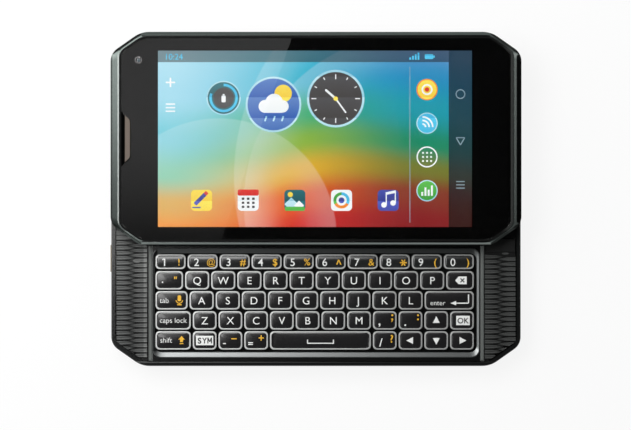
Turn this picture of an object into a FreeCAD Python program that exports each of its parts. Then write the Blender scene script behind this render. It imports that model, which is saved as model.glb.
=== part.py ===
import FreeCAD, Part
import math
import os
import re
import Sketcher

# A slider phone, lying on its back with the screen half slid open.
# X runs along the phone, Y points the way the screen half opens, Z points out of the screen.
# The origin is on the back face, under the middle of the base half.

doc = FreeCAD.newDocument("slider_phone")
sheet = doc.addObject("Spreadsheet::Sheet", "Sizes")

# ---------------------------------------------------------------- driving sizes, in millimetres
SIZES = (
    # both halves
    ("phone_length", 126.8, "length of both halves, along X"),
    ("phone_width", 66.0, "width of both halves, along Y"),
    ("corner_run", 9.4, "length of the cut corner, along X"),
    ("corner_rise", 6.6, "length of the cut corner, along Y"),
    ("side_corner_radius", 8.0, "rounding where the cut corner meets a long side"),
    ("end_corner_radius", 4.7, "rounding where the cut corner meets a short end"),
    ("frame_proud", 0.3, "how far the base frame stands above the deck"),
    ("half_gap", 0.45, "air between the two halves"),
    ("panel_space", 0.1, "air between the display panel and the carrier plate"),
    ("seam", 0.1, "joint line between two outer shells"),
    ("fit_gap", 0.1, "assembly clearance around an inserted piece"),
    ("seat_gap", 0.05, "clearance of a stacked piece above its seat"),
    # rear cover
    ("cover_skin", 0.9, "floor of the rear cover"),
    ("cover_rim", 1.5, "height of the rear cover with its rim"),
    ("cover_wall", 1.0, "wall of the rim"),
    ("cover_edge_radius", 1.2, "rounding of the back edge"),
    # base frame
    ("frame_wall", 1.3, "outer wall of the base frame"),
    ("frame_edge_radius", 0.45, "rounding of the frame's upper edge"),
    ("web_thick", 0.8, "thickness of the web"),
    # keyboard deck and grips
    ("deck_groove", 0.25, "groove between the frame and the deck"),
    ("deck_thick", 1.6, "thickness of the deck"),
    ("deck_overlap", 2.2, "how far grips and ribs run on under the open screen half"),
    ("grip_space", 0.3, "gap between a grip and the rib beside it"),
    ("grip_sunk", 1.0, "depth of the seat under each grip"),
    ("grip_width", 9.6, "width of each grip"),
    ("grip_proud", 0.2, "how far the ridges stand above the deck"),
    ("grip_pitch", 0.79, "spacing of the grip's ridges"),
    ("grip_groove", 0.4, "width of the groove between two ridges"),
    ("grip_depth", 0.3, "depth of the grooves"),
    ("rib_space", 0.35, "gap between the trim and the rib beside it"),
    ("rib_width", 1.0, "width of the rib"),
    ("rib_margin", 1.7, "rib's distance from the long side"),
    ("rib_proud", 0.25, "how far the ribs stand above the deck"),
    # silver frame around the keys
    ("trim_margin", 2.55, "trim's distance from the long side"),
    ("trim_left", 0.6, "width of the trim's left band"),
    ("trim_right", 0.9, "width of the trim's right band"),
    ("trim_bottom", 1.75, "width of the trim's lower band"),
    ("trim_top", 1.4, "width of the trim's upper band"),
    ("trim_radius", 2.4, "rounding of the trim's outer corners"),
    ("trim_opening_radius", 1.7, "rounding of the trim's opening"),
    ("trim_bevel", 0.5, "bevel along the trim's opening"),
    ("trim_proud", 0.2, "how far the trim stands above the deck"),
    # keyboard layers
    ("dome_sheet_thick", 0.2, "keyboard circuit with its domes"),
    ("key_mat_thick", 0.35, "rubber mat above the domes"),
    ("key_travel", 0.25, "how far a key goes down"),
    ("key_spare", 0.05, "air left under a key that is pressed home"),
    ("key_thick", 0.9, "thickness of a key cap"),
    ("key_corner", 1.2, "rounding of a key's corners"),
    ("key_edge", 0.2, "bevel of a key's upper edge"),
    ("keys_margin_left", 0.3, "gap between the trim's opening and the keys, left"),
    ("keys_margin_right", 0.8, "the same gap, right"),
    ("keys_margin_low", 0.75, "the same gap, below"),
    ("keys_margin_high", 0.55, "the same gap, above"),
    ("keys_cover", 2.7, "distance from the keys to the open screen half"),
    ("key_gap", 0.62, "gap between neighbouring keys"),
    ("row_gap", 0.49, "gap between two rows"),
    ("number_key_depth", 4.58, "keys of the number row, along Y"),
    ("key_depth", 5.72, "keys of the other rows, along Y"),
    ("end_cell", 9.16, "first and last key beside the top letters, with their gaps"),
    ("shift_cell", 11.55, "first key of the two lower rows, with its gap"),
    ("tab_cell", 10.56, "tab key with its gap"),
    # board, battery and modules in the base
    ("board_inset", 2.0, "main board's distance from the outline"),
    ("board_thick", 0.8, "thickness of the main board"),
    ("board_wing", 31.4, "width of the board's left wing"),
    ("board_strip", 13.0, "width of the board's upper strip"),
    ("can_thick", 1.9, "height of the shield cans"),
    ("can_wall", 0.2, "sheet of the shield cans"),
    ("can_margin", 1.5, "distance of a can from the board's edge"),
    ("small_can", 10.0, "side of the square can, width of the tall one"),
    ("strip_can_width", 9.5, "cans on the upper strip, along Y"),
    ("left_can_length", 34.0, "left can on the strip"),
    ("right_can_length", 26.0, "right can on the strip"),
    ("strip_cans_apart", 8.0, "distance between the two cans on the strip"),
    ("battery_space", 2.0, "gap between the battery and the board"),
    ("battery_margin", 5.0, "battery's distance from the long side"),
    ("battery_speaker", 4.0, "gap between the battery and the loudspeaker"),
    ("battery_headroom", 0.45, "air above the battery"),
    ("battery_radius", 1.5, "rounding of the battery's corners"),
    ("camera_inset", 15.4, "rear camera, light and window, from the left end"),
    ("camera_side", 9.0, "side of the camera module"),
    ("camera_barrel", 3.2, "radius of the camera's barrel"),
    ("camera_barrel_height", 1.0, "length of the barrel"),
    ("window_radius", 4.0, "radius of the camera window"),
    ("back_recess", 0.15, "depth of the windows below the back face"),
    ("flash_y", 8.5, "flash light, beside the camera"),
    ("flash_radius", 1.6, "radius of the flash lens"),
    ("flash_side", 3.6, "side of the flash module"),
    ("speaker_inset", 17.4, "middle of the loudspeaker, from the right end"),
    ("speaker_y", -14.0, "middle of the loudspeaker"),
    ("speaker_length", 16.0, "loudspeaker, along X"),
    ("speaker_width", 11.0, "loudspeaker, along Y"),
    ("grille_length", 13.0, "speaker grille, along X"),
    ("grille_width", 4.0, "speaker grille, along Y"),
    ("grille_hole", 0.38, "radius of the grille's holes"),
    ("grille_pitch", 1.2, "spacing of the grille's holes"),
    ("motor_y", 6.0, "vibration motor, above the loudspeaker"),
    ("motor_radius", 5.0, "radius of the vibration motor"),
    ("motor_thick", 2.8, "thickness of the vibration motor"),
    # sockets
    ("jack_inset", 11.0, "headphone jack, from the long side"),
    ("jack_end", 0.9, "jack's body behind its bore"),
    ("jack_width", 6.0, "body of the jack"),
    ("jack_wall", 0.22, "jack's wall above and below its bore"),
    ("jack_bore", 1.78, "radius of the jack's bore"),
    ("jack_bore_depth", 12.0, "depth of the jack's bore"),
    ("jack_port_gap", 0.32, "how much wider the hole in the shells is"),
    ("socket_depth", 5.2, "body of the two data sockets, along Y"),
    ("socket_thick", 2.6, "height of the two data sockets"),
    ("socket_wall", 0.35, "metal wall of the data sockets"),
    ("usb_inset", 17.0, "middle of the charging socket, from the left end"),
    ("usb_width", 7.6, "charging socket, along X"),
    ("sockets_apart", 10.2, "distance between the two data sockets"),
    ("hdmi_width", 6.5, "video socket, along X"),
    # side buttons
    ("button_margin", 0.2, "lower edge of the side buttons, above the frame's edge"),
    ("button_proud", 0.4, "how far a side button stands out"),
    ("button_travel", 0.25, "how far a side button goes in"),
    ("button_flange", 0.4, "thickness of the flange that keeps a button in"),
    ("button_lip", 0.3, "how far the flange reaches past the slot"),
    ("power_y", 0.3, "middle of the power button"),
    ("power_length", 8.3, "power button, along Y"),
    ("rocker_x", -25.0, "middle of the volume rocker"),
    ("rocker_length", 18.0, "volume rocker, along X"),
    ("shutter_inset", 23.4, "middle of the camera button, from the right end"),
    ("shutter_length", 7.0, "camera button, along X"),
    # screws
    ("screw_inset", 6.4, "case and screen screws, from the short end"),
    ("screw_side_inset", 17.0, "case screws, from the long side"),
    ("screw_radius", 0.7, "radius of a screw's shank"),
    ("screw_clearance", 0.05, "clearance around a shank"),
    ("screw_head_radius", 1.25, "radius of a screw's head"),
    ("screw_head_thick", 0.6, "height of a screw's head"),
    ("screw_drive", 0.45, "radius of the drive recess"),
    ("display_screw_inset", 19.0, "screen screws, from the long side"),
    # slide module
    ("plate_margin", 1.5, "slide plate's edge, beyond the runners"),
    ("runner_margin", 1.0, "slide plate's edge, beyond the runners' ends"),
    ("plate_inset", 0.45, "slide plate's distance from the deck's edge"),
    ("plate_thick", 0.8, "thickness of the slide plate"),
    ("runner_inset", 1.2, "runner's middle, from the end of the display panel"),
    ("runner_rest", 0.9, "rail that is left beyond the runner when the phone is open"),
    ("stem_width", 0.8, "runner's stem, along X"),
    ("head_width", 4.0, "runner's head, along X"),
    ("head_thick", 0.35, "runner's head, along Z"),
    ("slide_clearance", 0.15, "running clearance above and below the head"),
    ("side_clearance", 0.25, "running clearance beside head and stem"),
    ("rail_sheet", 0.3, "sheet of the slide rails"),
    ("rail_wall", 0.45, "upright walls of the slide rails"),
    ("rail_inset", 0.2, "rail's distance from the screen frame's wall"),
    ("slot_wider", 0.15, "how much wider the cover's slot is than the rail's"),
    ("recess_inset", 5.5, "recess for the springs, from the runners"),
    ("recess_short", 0.2, "how much shorter the recess is than the rails"),
    ("recess_depth", 0.5, "depth of the recess for the springs"),
    ("spring_wire", 0.25, "radius of the spring wire"),
    ("pin_radius", 0.6, "radius of the spring pins"),
    ("pin_gap", 0.15, "air beyond the end of a spring pin"),
    ("base_pin_x", 30.0, "spring pin on the slide plate"),
    ("base_pin_inset", 5.0, "spring pin, from the slide plate's lower edge"),
    ("display_pin_x", 14.0, "spring pin on the screen half"),
    ("display_pin_y", -6.9, "spring pin, from the middle of the screen half"),
    ("flex_width", 16.0, "width of the flat cable"),
    ("flex_thick", 0.15, "thickness of the flat cable"),
    ("flex_inset", 3.0, "flat cable's slot, from the slide plate's lower edge"),
    ("flex_slot", 0.8, "width of the flat cable's slot"),
    ("flex_reach", 2.35, "fold of the flat cable, from the slide plate's edge"),
    ("flex_end_inset", 9.0, "end of the flat cable, from the screen half's long side"),
    # screen half
    ("back_thick", 1.0, "thickness of the screen half's back cover"),
    ("back_edge", 0.3, "bevel of the back cover's lower edge"),
    ("bezel_thick", 1.2, "height of the bezel"),
    ("bezel_skirt", 0.4, "upright part of the bezel's outside"),
    ("bezel_end", 2.65, "width of the bezel at the short ends"),
    ("bezel_side", 1.35, "width of the bezel along the long sides"),
    ("bezel_corner", 1.2, "width of the bezel at the cut corners"),
    ("bezel_rim", 0.4, "flat rim around the glass"),
    ("glass_gap", 0.5, "dark joint around the glass"),
    ("glass_below_rim", 0.2, "how far the glass lies below the rim"),
    ("glass_bevel", 0.12, "ground edge of the glass"),
    ("cavity_end", 4.5, "wall of the screen frame at the short ends"),
    ("cavity_side", 2.6, "wall of the screen frame along the long sides"),
    ("cavity_corner", 2.4, "wall of the screen frame at the cut corners"),
    ("carrier_margin", 0.3, "carrier plate's edge, beyond the rails"),
    ("carrier_thick", 0.45, "thickness of the carrier plate"),
    ("module_space", 2.4, "gap between the camera module and the display panel"),
    ("panel_gap", 1.2, "gap between the display panel and the frame's long walls"),
    ("lcd_thick", 1.4, "thickness of the display panel"),
    ("earpiece_mouth", 8.55, "half the earpiece notch at the glass edge"),
    ("earpiece_throat", 5.8, "half the earpiece notch at its inner end"),
    ("earpiece_depth", 2.9, "depth of the earpiece notch"),
    ("mesh_depth", 1.6, "width of the visible mesh"),
    ("mesh_thick", 0.5, "thickness of the mesh insert"),
    ("receiver_length", 5.6, "earpiece receiver, along X"),
    ("receiver_width", 13.0, "earpiece receiver, along Y"),
    ("receiver_thick", 2.2, "thickness of the receiver"),
    ("front_camera_gap", 1.4, "front camera module, from the frame's short wall"),
    ("front_camera_inset", 3.4, "front camera module, from the frame's long wall"),
    ("front_camera_side", 5.4, "side of the front camera module"),
    ("front_camera_barrel", 1.25, "radius of the front camera's barrel"),
    ("boss_width", 4.4, "screw boss in the screen frame, along X"),
    ("boss_depth", 4.0, "screw boss in the screen frame, along Y"),
)

# ---------------------------------------------------------------- sizes that follow from them
DERIVED = {
    "half_length": "phone_length / 2",
    "half_width": "phone_width / 2",
    "corner_slope": "sqrt(corner_run ^ 2 + corner_rise ^ 2)",
    "frame_low": "cover_rim + seam",
    "jack_thick": "2 * (jack_bore + jack_wall)",
    "jack_length": "jack_bore_depth + jack_end",
    "jack_port": "jack_bore + jack_port_gap",
    "web_height": "cover_floor + jack_thick + seat_gap",
    "web_top": "web_height + web_thick",
    "deck_height": "web_top + deck_thick",
    "base_thick": "deck_height + frame_proud",
    "rib_height": "deck_height + rib_proud",
    "trim_height": "deck_height + trim_proud",
    "grip_height": "deck_height + grip_proud",
    "grip_seat": "deck_height - grip_sunk",
    "deck_inset": "frame_wall + deck_groove",
    "cover_floor": "cover_skin + seat_gap",
    "under_web": "web_height - seat_gap",
    "board_low": "under_web - board_thick",
    "under_board": "board_low - seat_gap",
    "frame_inside": "half_width - frame_wall",
    "end_inside": "half_length - frame_wall",
    # keyboard
    "dome_top": "web_top + dome_sheet_thick",
    "mat_top": "dome_top + key_mat_thick",
    "key_low": "mat_top + key_travel + key_spare",
    "key_high": "key_low + key_thick",
    "grip_inner": "half_length - deck_inset - grip_width",
    "rib_inner": "grip_inner - grip_space - rib_width",
    "trim_half_length": "rib_inner - rib_space",
    "row_cells": "keys_right - keys_left + key_gap",
    "letter_pitch": "(row_cells - 2 * end_cell) / 10",
    "lower_pitch": "(row_cells - shift_cell) / 11",
    "keys_depth": "number_key_depth + key_gap + 4 * key_depth + 3 * row_gap",
    "opening_left": "-trim_half_length + trim_left",
    "opening_right": "trim_half_length - trim_right",
    "keys_left": "opening_left + keys_margin_left",
    "keys_right": "opening_right - keys_margin_right",
    "trim_low": "-half_width + trim_margin",
    "opening_low": "trim_low + trim_bottom",
    "keys_top": "opening_low + keys_margin_low + keys_depth",
    "opening_high": "keys_top + keys_margin_high",
    "trim_high": "opening_high + trim_top",
    "slide_travel": "keys_top + keys_cover + half_width",
    "deck_end": "keys_top + keys_cover + deck_overlap",
    # board, battery and modules
    "camera_x": "camera_inset - half_length",
    "usb_x": "usb_inset - half_length",
    "hdmi_x": "usb_x + sockets_apart",
    "speaker_x": "half_length - speaker_inset",
    "shutter_x": "half_length - shutter_inset",
    "screw_x": "half_length - screw_inset",
    "board_wing_edge": "board_inset + board_wing - half_length",
    "board_strip_edge": "half_width - board_inset - board_strip",
    "battery_left": "board_wing_edge + battery_space",
    "battery_right": "speaker_x - speaker_length / 2 - battery_speaker",
    "battery_low": "battery_margin - half_width",
    "battery_high": "board_strip_edge - battery_space",
    "battery_thick": "web_height - battery_headroom - cover_floor",
    "window_thick": "cover_skin - back_recess - seat_gap",
    "grille_thick": "cover_skin - back_recess",
    "jack_y": "half_width - jack_inset",
    "screw_y": "half_width - screw_side_inset",
    "case_screw_length": "grip_seat - seat_gap - web_height",
    "button_low": "frame_low + button_margin",
    "button_high": "board_low - seat_gap - button_lip",
    "jack_middle_height": "cover_floor + jack_thick / 2",
    # slide module
    "plate_floor": "deck_height - plate_thick",
    "lcd_half_length": "half_length - cavity_end - module_strip",
    "runner_x": "lcd_half_length - runner_inset",
    "plate_half_length": "runner_x + head_width / 2 + plate_margin",
    "rail_half_length": "half_width - cavity_side - rail_inset",
    "runner_low": "slide_travel - rail_half_length + runner_rest",
    "plate_low": "runner_low - runner_margin",
    "plate_high": "half_width - deck_inset - plate_inset",
    "runner_high": "plate_high - runner_margin",
    "recess_half_length": "runner_x - recess_inset",
    "recess_half_width": "rail_half_length - recess_short",
    "base_pin_y": "plate_low + base_pin_inset",
    "flex_slot_y": "plate_low + flex_inset",
    "flex_end_y": "flex_end_inset - half_width",
    "flex_turn_y": "plate_high - flex_reach",
    "display_low": "base_thick + half_gap",
    "recess_top": "display_low + recess_depth",
    "back_top": "display_low + back_thick",
    "rail_low": "back_top + seat_gap",
    "head_low": "rail_low + rail_sheet + slide_clearance",
    "head_high": "head_low + head_thick",
    "rail_high": "head_high + slide_clearance + rail_sheet",
    "stem_slot": "stem_width / 2 + side_clearance",
    "rail_inside": "head_width / 2 + side_clearance",
    "rail_outside": "rail_inside + rail_wall",
    "spring_high": "recess_top - pin_gap",
    "spring_middle": "spring_high - spring_wire - seat_gap",
    # screen half
    "module_strip": "front_camera_gap + front_camera_side + module_space",
    "lcd_low": "carrier_high + panel_space",
    "under_glass": "lcd_low + lcd_thick",
    "bezel_low": "under_glass + seat_gap",
    "phone_thick": "bezel_low + bezel_thick",
    "bezel_bend": "bezel_low + bezel_skirt",
    "frame_top": "bezel_low - seat_gap",
    "glass_high": "phone_thick - glass_below_rim",
    "glass_low": "bezel_low",
    "carrier_half_length": "runner_x + rail_outside + carrier_margin",
    "carrier_low": "rail_high + seat_gap",
    "carrier_high": "carrier_low + carrier_thick",
    "lcd_half_width": "half_width - cavity_side - panel_gap",
    "front_camera_y": "half_width - cavity_side - front_camera_inset - front_camera_side / 2",
    "display_screw_y": "half_width - display_screw_inset",
    "display_screw_length": "rail_high - 2 * seat_gap - display_low - screw_head_thick",
    "front_camera_x": "front_camera_gap + front_camera_side / 2 - (half_length - cavity_end)",
    "glass_end": "half_length - bezel_end - glass_gap",
    "mesh_outer": "glass_end - earpiece_depth + mesh_depth",
}

CELLS = {name for name, _, _ in SIZES}
for row, (name, millimetres, meaning) in enumerate(SIZES, 1):
    sheet.set(f"A{row}", name)
    sheet.set(f"B{row}", str(millimetres))
    sheet.set(f"C{row}", meaning)
    sheet.setAlias(f"B{row}", name)
doc.recompute()

TINY = 1e-4
NODES = []


def formula(text):
    """Turn names of sizes into references to the sheet's cells."""

    def swap(found):
        name = found.group(0)
        if name in DERIVED:
            return "(" + formula(DERIVED[name]) + ")"
        return "Sizes." + name if name in CELLS else name

    return re.sub(r"[a-z_]\w*", swap, text)


def size(text):
    """The number that a formula gives now."""
    return float(sheet.evalExpression(formula(text)))


def bind(item, prop, text):
    item.setExpression(prop, formula(text))


def node(item, name):
    """Mark an object as one finished piece."""
    item.Label = name
    NODES.append(item)
    return item


# ---------------------------------------------------------------- how pieces are drawn
def place(item, x, y, z):
    for axis, text in (("x", x), ("y", y), ("z", z)):
        bind(item, "Placement.Base." + axis, text)


def set_box(item, low, high):
    """Size a box primitive from two opposite corners."""
    for prop, a, b in zip(("Length", "Width", "Height"), low, high):
        bind(item, prop, f"({b}) - ({a})")
    place(item, *low)
    return item


TURNS = {
    "x": FreeCAD.Rotation(FreeCAD.Vector(0, 1, 0), 90),
    "y": FreeCAD.Rotation(FreeCAD.Vector(1, 0, 0), -90),
    "z": FreeCAD.Rotation(),
}


def set_rod(item, start, radius, length, axis="z"):
    """Size a cylinder primitive that starts at a point and runs along an axis."""
    bind(item, "Radius", radius)
    bind(item, "Height", length)
    item.Placement = FreeCAD.Placement(FreeCAD.Vector(), TURNS[axis])
    place(item, *start)
    return item


def box(low, high):
    return set_box(doc.addObject("Part::Box", "box"), low, high)


def rod(start, radius, length, axis="z"):
    return set_rod(doc.addObject("Part::Cylinder", "rod"), start, radius, length, axis)


def fuse(*pieces):
    item = doc.addObject("Part::MultiFuse", "joined")
    item.Shapes = list(pieces)
    return item


def cut(base, *tools):
    item = doc.addObject("Part::Cut", "cut")
    item.Base = base
    item.Tool = tools[0] if len(tools) == 1 else fuse(*tools)
    return item


def group(pieces):
    item = doc.addObject("Part::Compound", "group")
    item.Links = list(pieces)
    return item


def rounded(base, radius, wanted):
    """Round the edges of a Part object that the test picks."""
    doc.recompute()
    item = doc.addObject("Part::Fillet", "rounded")
    item.Base = base
    picked = [n for n, edge in enumerate(base.Shape.Edges, 1) if wanted(edge)]
    item.Edges = [(n, size(radius), size(radius)) for n in picked]
    return item


def upright(edge):
    ends = edge.Vertexes
    return abs(ends[0].X - ends[-1].X) + abs(ends[0].Y - ends[-1].Y) < TINY and len(ends) > 1


def level(height):
    """A test for edges that lie wholly at one height."""
    spot = size(height)
    return lambda edge: abs(edge.BoundBox.ZMin - spot) + abs(edge.BoundBox.ZMax - spot) < TINY


def new_body(name):
    return doc.addObject("PartDesign::Body", name)


def sketch_on(body, height):
    """An empty sketch in the body's XY plane."""
    drawing = body.newObject("Sketcher::SketchObject", "outline")
    plane = [p for p in body.Origin.OriginFeatures if p.Role == "XY_Plane"][0]
    drawing.AttachmentSupport = [(plane, "")]
    drawing.MapMode = "FlatFace"
    bind(drawing, "AttachmentOffset.Base.z", height)
    return drawing


def fix_point(drawing, line, end, formulas, spot):
    """Dimension one end of a line or an arc from the origin."""
    for kind, text, number in zip(("DistanceX", "DistanceY"), formulas, spot):
        made = drawing.addConstraint(Sketcher.Constraint(kind, -1, 1, line, end, number))
        bind(drawing, f"Constraints[{made}]", text)


def sketch(body, points, height):
    """A closed outline of straight lines."""
    drawing = sketch_on(body, height)
    spots = [(size(x), size(y)) for x, y in points]
    count = len(points)
    for n in range(count):
        start, end = spots[n], spots[(n + 1) % count]
        drawing.addGeometry(Part.LineSegment(FreeCAD.Vector(*start), FreeCAD.Vector(*end)))
    for n in range(count):
        drawing.addConstraint(Sketcher.Constraint("Coincident", n, 2, (n + 1) % count, 1))
    for n, (corner, spot) in enumerate(zip(points, spots)):
        fix_point(drawing, n, 1, corner, spot)
    return drawing


def rounded_sketch(body, corners, inset, height):
    """The octagon's outline with its roundings drawn as arcs, less by as much as it is moved in."""
    drawing = sketch_on(body, height)
    side, end = f"(side_corner_radius - ({inset}))", f"(end_corner_radius - ({inset}))"
    side_cut = f"{side} * (corner_slope - corner_run) / corner_rise"
    end_cut = f"{end} * (corner_slope - corner_rise) / corner_run"
    run, rise = "corner_run / corner_slope", "corner_rise / corner_slope"
    ways = (
        (f"-{run}", rise), ("1", "0"), ("-1", "0"), (run, rise),
        (f"-{run}", f"-{rise}"), ("0", "1"), ("0", "-1"), (f"-{run}", rise),
        (run, f"-{rise}"), ("-1", "0"), ("1", "0"), (f"-{run}", f"-{rise}"),
        (run, rise), ("0", "-1"), ("0", "1"), (run, f"-{rise}"),
    )
    spots = []
    for n, (x, y) in enumerate(corners):
        radius, cut = (side, side_cut) if n % 4 < 2 else (end, end_cut)
        tip = FreeCAD.Vector(size(x), size(y))
        pair, arms = [], []
        for along, up in ways[2 * n:2 * n + 2]:
            pair.append((f"({x}) + ({cut}) * ({along})", f"({y}) + ({cut}) * ({up})"))
            arms.append(FreeCAD.Vector(size(along), size(up)))
        middle = (arms[0] + arms[1]).normalize()
        reach = size(radius) / math.sin(arms[0].getAngle(arms[1]) / 2) - size(radius)
        ends = [FreeCAD.Vector(size(a), size(b)) for a, b in pair]
        drawing.addGeometry(Part.Arc(ends[0], tip + middle * reach, ends[1]))
        spots.append((pair, ends, radius))
    for n, (pair, ends, radius) in enumerate(spots):
        following = spots[(n + 1) % len(spots)][1]
        line = drawing.addGeometry(Part.LineSegment(ends[1], following[0]))
        drawing.addConstraint(Sketcher.Constraint("Coincident", n, 2, line, 1))
        drawing.addConstraint(Sketcher.Constraint("Coincident", line, 2, (n + 1) % len(spots), 1))
        for point in (1, 2):
            fix_point(drawing, n, point, pair[point - 1], ends[point - 1])
        made = drawing.addConstraint(Sketcher.Constraint("Radius", n, size(radius)))
        bind(drawing, f"Constraints[{made}]", radius)
    return drawing


def pad(body, points, low, high, inset=None):
    item = body.newObject("PartDesign::Pad", "pad")
    item.Profile = sketch(body, points, low) if inset is None else rounded_sketch(body, points, inset, low)
    bind(item, "Length", f"({high}) - ({low})")
    doc.recompute()
    return item


def pocket(body, points, low, high, inset=None):
    """Cut an outline out of the body, from high down to low."""
    doc.recompute()
    before = body.Tip.Shape.Volume
    item = body.newObject("PartDesign::Pocket", "pocket")
    item.Profile = sketch(body, points, high) if inset is None else rounded_sketch(body, points, inset, high)
    bind(item, "Length", f"({high}) - ({low})")
    doc.recompute()
    if item.Shape.Volume >= before:
        raise ValueError(f"{body.Label}: the pocket cuts nothing")
    return item


def body_box(body, kind, low, high):
    """Add or cut a box: kind is Additive or Subtractive."""
    return set_box(body.newObject(f"PartDesign::{kind}Box", "block"), low, high)


def body_rod(body, kind, start, radius, length, axis="z"):
    return set_rod(body.newObject(f"PartDesign::{kind}Cylinder", "round"), start, radius, length, axis)


def dress(body, kind, amount, wanted):
    """Fillet or chamfer the edges of the body that the test picks."""
    doc.recompute()
    base = body.Tip
    picked = [f"Edge{n}" for n, edge in enumerate(base.Shape.Edges, 1) if wanted(edge)]
    item = body.newObject("PartDesign::" + kind, kind.lower())
    item.Base = (base, picked)
    bind(item, "Radius" if kind == "Fillet" else "Size", amount)
    doc.recompute()
    return item


def standing_at(corners):
    """A test for upright edges that stand at one of the corners."""
    spots = [(size(x), size(y)) for x, y in corners]

    def wanted(edge):
        middle = edge.BoundBox.Center
        return upright(edge) and any(
            math.hypot(middle.x - x, middle.y - y) < TINY for x, y in spots
        )

    return wanted


def octagon(end, side, corner, middle="0"):
    """The phone's outline, moved in by three distances; middle is its centre along Y."""
    joint = f"(corner_run * corner_rise + ({corner}) * corner_slope"
    run = f"{joint} - corner_run * ({side})) / corner_rise - ({end})"
    rise = f"{joint} - corner_rise * ({end})) / corner_run - ({side})"
    far_x, far_y = f"(half_length - ({end}))", f"(half_width - ({side}))"
    near_x, near_y = f"({far_x} - ({run}))", f"({far_y} - ({rise}))"
    low, high = f"{middle} - ", f"{middle} + "
    return [
        ("-" + near_x, low + far_y),
        (near_x, low + far_y),
        (far_x, low + near_y),
        (far_x, high + near_y),
        (near_x, high + far_y),
        ("-" + near_x, high + far_y),
        ("-" + far_x, high + near_y),
        ("-" + far_x, low + near_y),
    ]


def round_outline(body, corners, inset):
    """Round an octagon's upright edges, less by as much as it is moved in."""
    side, end = corners[0:2] + corners[4:6], corners[2:4] + corners[6:8]
    dress(body, "Fillet", f"side_corner_radius - ({inset})", standing_at(side))
    dress(body, "Fillet", f"end_corner_radius - ({inset})", standing_at(end))


def shell_pad(body, inset, low, high, middle="0"):
    corners = octagon(inset, inset, inset, middle)
    pad(body, corners, low, high)
    round_outline(body, corners, inset)


def shell_pocket(body, insets, low, high, middle="0"):
    corners = octagon(*insets, middle)
    pocket(body, corners, low, high)
    round_outline(body, corners, insets[2])


def rectangle(left, low, right, high):
    return [(left, low), (right, low), (right, high), (left, high)]


# ---------------------------------------------------------------- base half: shells
def rear_cover():
    """The back, a shallow tray with a rounded edge and holes for camera, light and sound."""
    body = new_body("rear_cover")
    shell_pad(body, "0", "0", "cover_rim")
    dress(body, "Fillet", "cover_edge_radius", level("0"))
    shell_pocket(body, ("cover_wall",) * 3, "cover_skin", "cover_rim")
    depth = "cover_skin + 2 * seam"
    window = ("camera_x", "0", "-seam")
    body_rod(body, "Subtractive", window, "window_radius + fit_gap", depth)
    flash = ("camera_x", "flash_y", "-seam")
    body_rod(body, "Subtractive", flash, "flash_radius + fit_gap", depth)
    body_box(body, "Subtractive", *grille_corners("fit_gap", "-seam", "cover_skin + seam"))
    port = ("-half_length - seam", "jack_y", "jack_middle_height")
    body_rod(body, "Subtractive", port, "jack_port", "cover_wall + frame_wall", "x")
    node(body, "rear_cover")


def grille_corners(margin, low, high):
    reach_x, reach_y = f"grille_length / 2 + {margin}", f"grille_width / 2 + {margin}"
    return (
        (f"speaker_x - ({reach_x})", f"speaker_y - ({reach_y})", low),
        (f"speaker_x + ({reach_x})", f"speaker_y + ({reach_y})", high),
    )


SCREWS = [(x, y) for x in ("-", "") for y in ("-", "")]


def base_frame():
    """The chassis: an outer wall and a web that carries the keyboard above and the board below."""
    body = new_body("base_frame")
    shell_pad(body, "0", "frame_low", "base_thick")
    dress(body, "Fillet", "frame_edge_radius", level("base_thick"))
    walls = ("frame_wall",) * 3
    shell_pocket(body, walls, "web_top", "base_thick")
    shell_pocket(body, walls, "frame_low", "web_height")
    port = ("-half_length - seam", "jack_y", "jack_middle_height")
    body_rod(body, "Subtractive", port, "jack_port", "frame_wall + 2 * seam", "x")
    for middle, width in (("usb_x", "usb_width"), ("hdmi_x", "hdmi_width")):
        half = f"({width} / 2 + fit_gap)"
        low = (f"{middle} - {half}", "-half_width - seam", "frame_low - seam")
        high = (f"{middle} + {half}", "-frame_inside + seam", "under_board + fit_gap")
        body_box(body, "Subtractive", low, high)
    low, high = "button_low - fit_gap", "button_high + fit_gap"
    half = "(power_length / 2 + fit_gap)"
    slot_low = ("-half_length - seam", f"power_y - {half}", low)
    slot_high = ("-end_inside + seam", f"power_y + {half}", high)
    body_box(body, "Subtractive", slot_low, slot_high)
    for middle, length in (("rocker_x", "rocker_length"), ("shutter_x", "shutter_length")):
        half = f"({length} / 2 + fit_gap)"
        slot_low = (f"{middle} - {half}", "frame_inside - seam", low)
        slot_high = (f"{middle} + {half}", "half_width + seam", high)
        body_box(body, "Subtractive", slot_low, slot_high)
    for x, y in SCREWS:
        start = (x + "screw_x", y + "screw_y", "web_height - seam")
        hole = "screw_radius + screw_clearance"
        body_rod(body, "Subtractive", start, hole, "web_thick + 2 * seam")
    body_box(body, "Subtractive", *flex_slot("web_height - seam", "web_top + seam"))
    node(body, "base_frame")


def flex_slot(low, high):
    half = "(flex_width / 2 + 4 * fit_gap)"
    return (
        ("-" + half, "flex_slot_y - flex_slot / 2", low),
        (half, "flex_slot_y + flex_slot / 2", high),
    )


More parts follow.
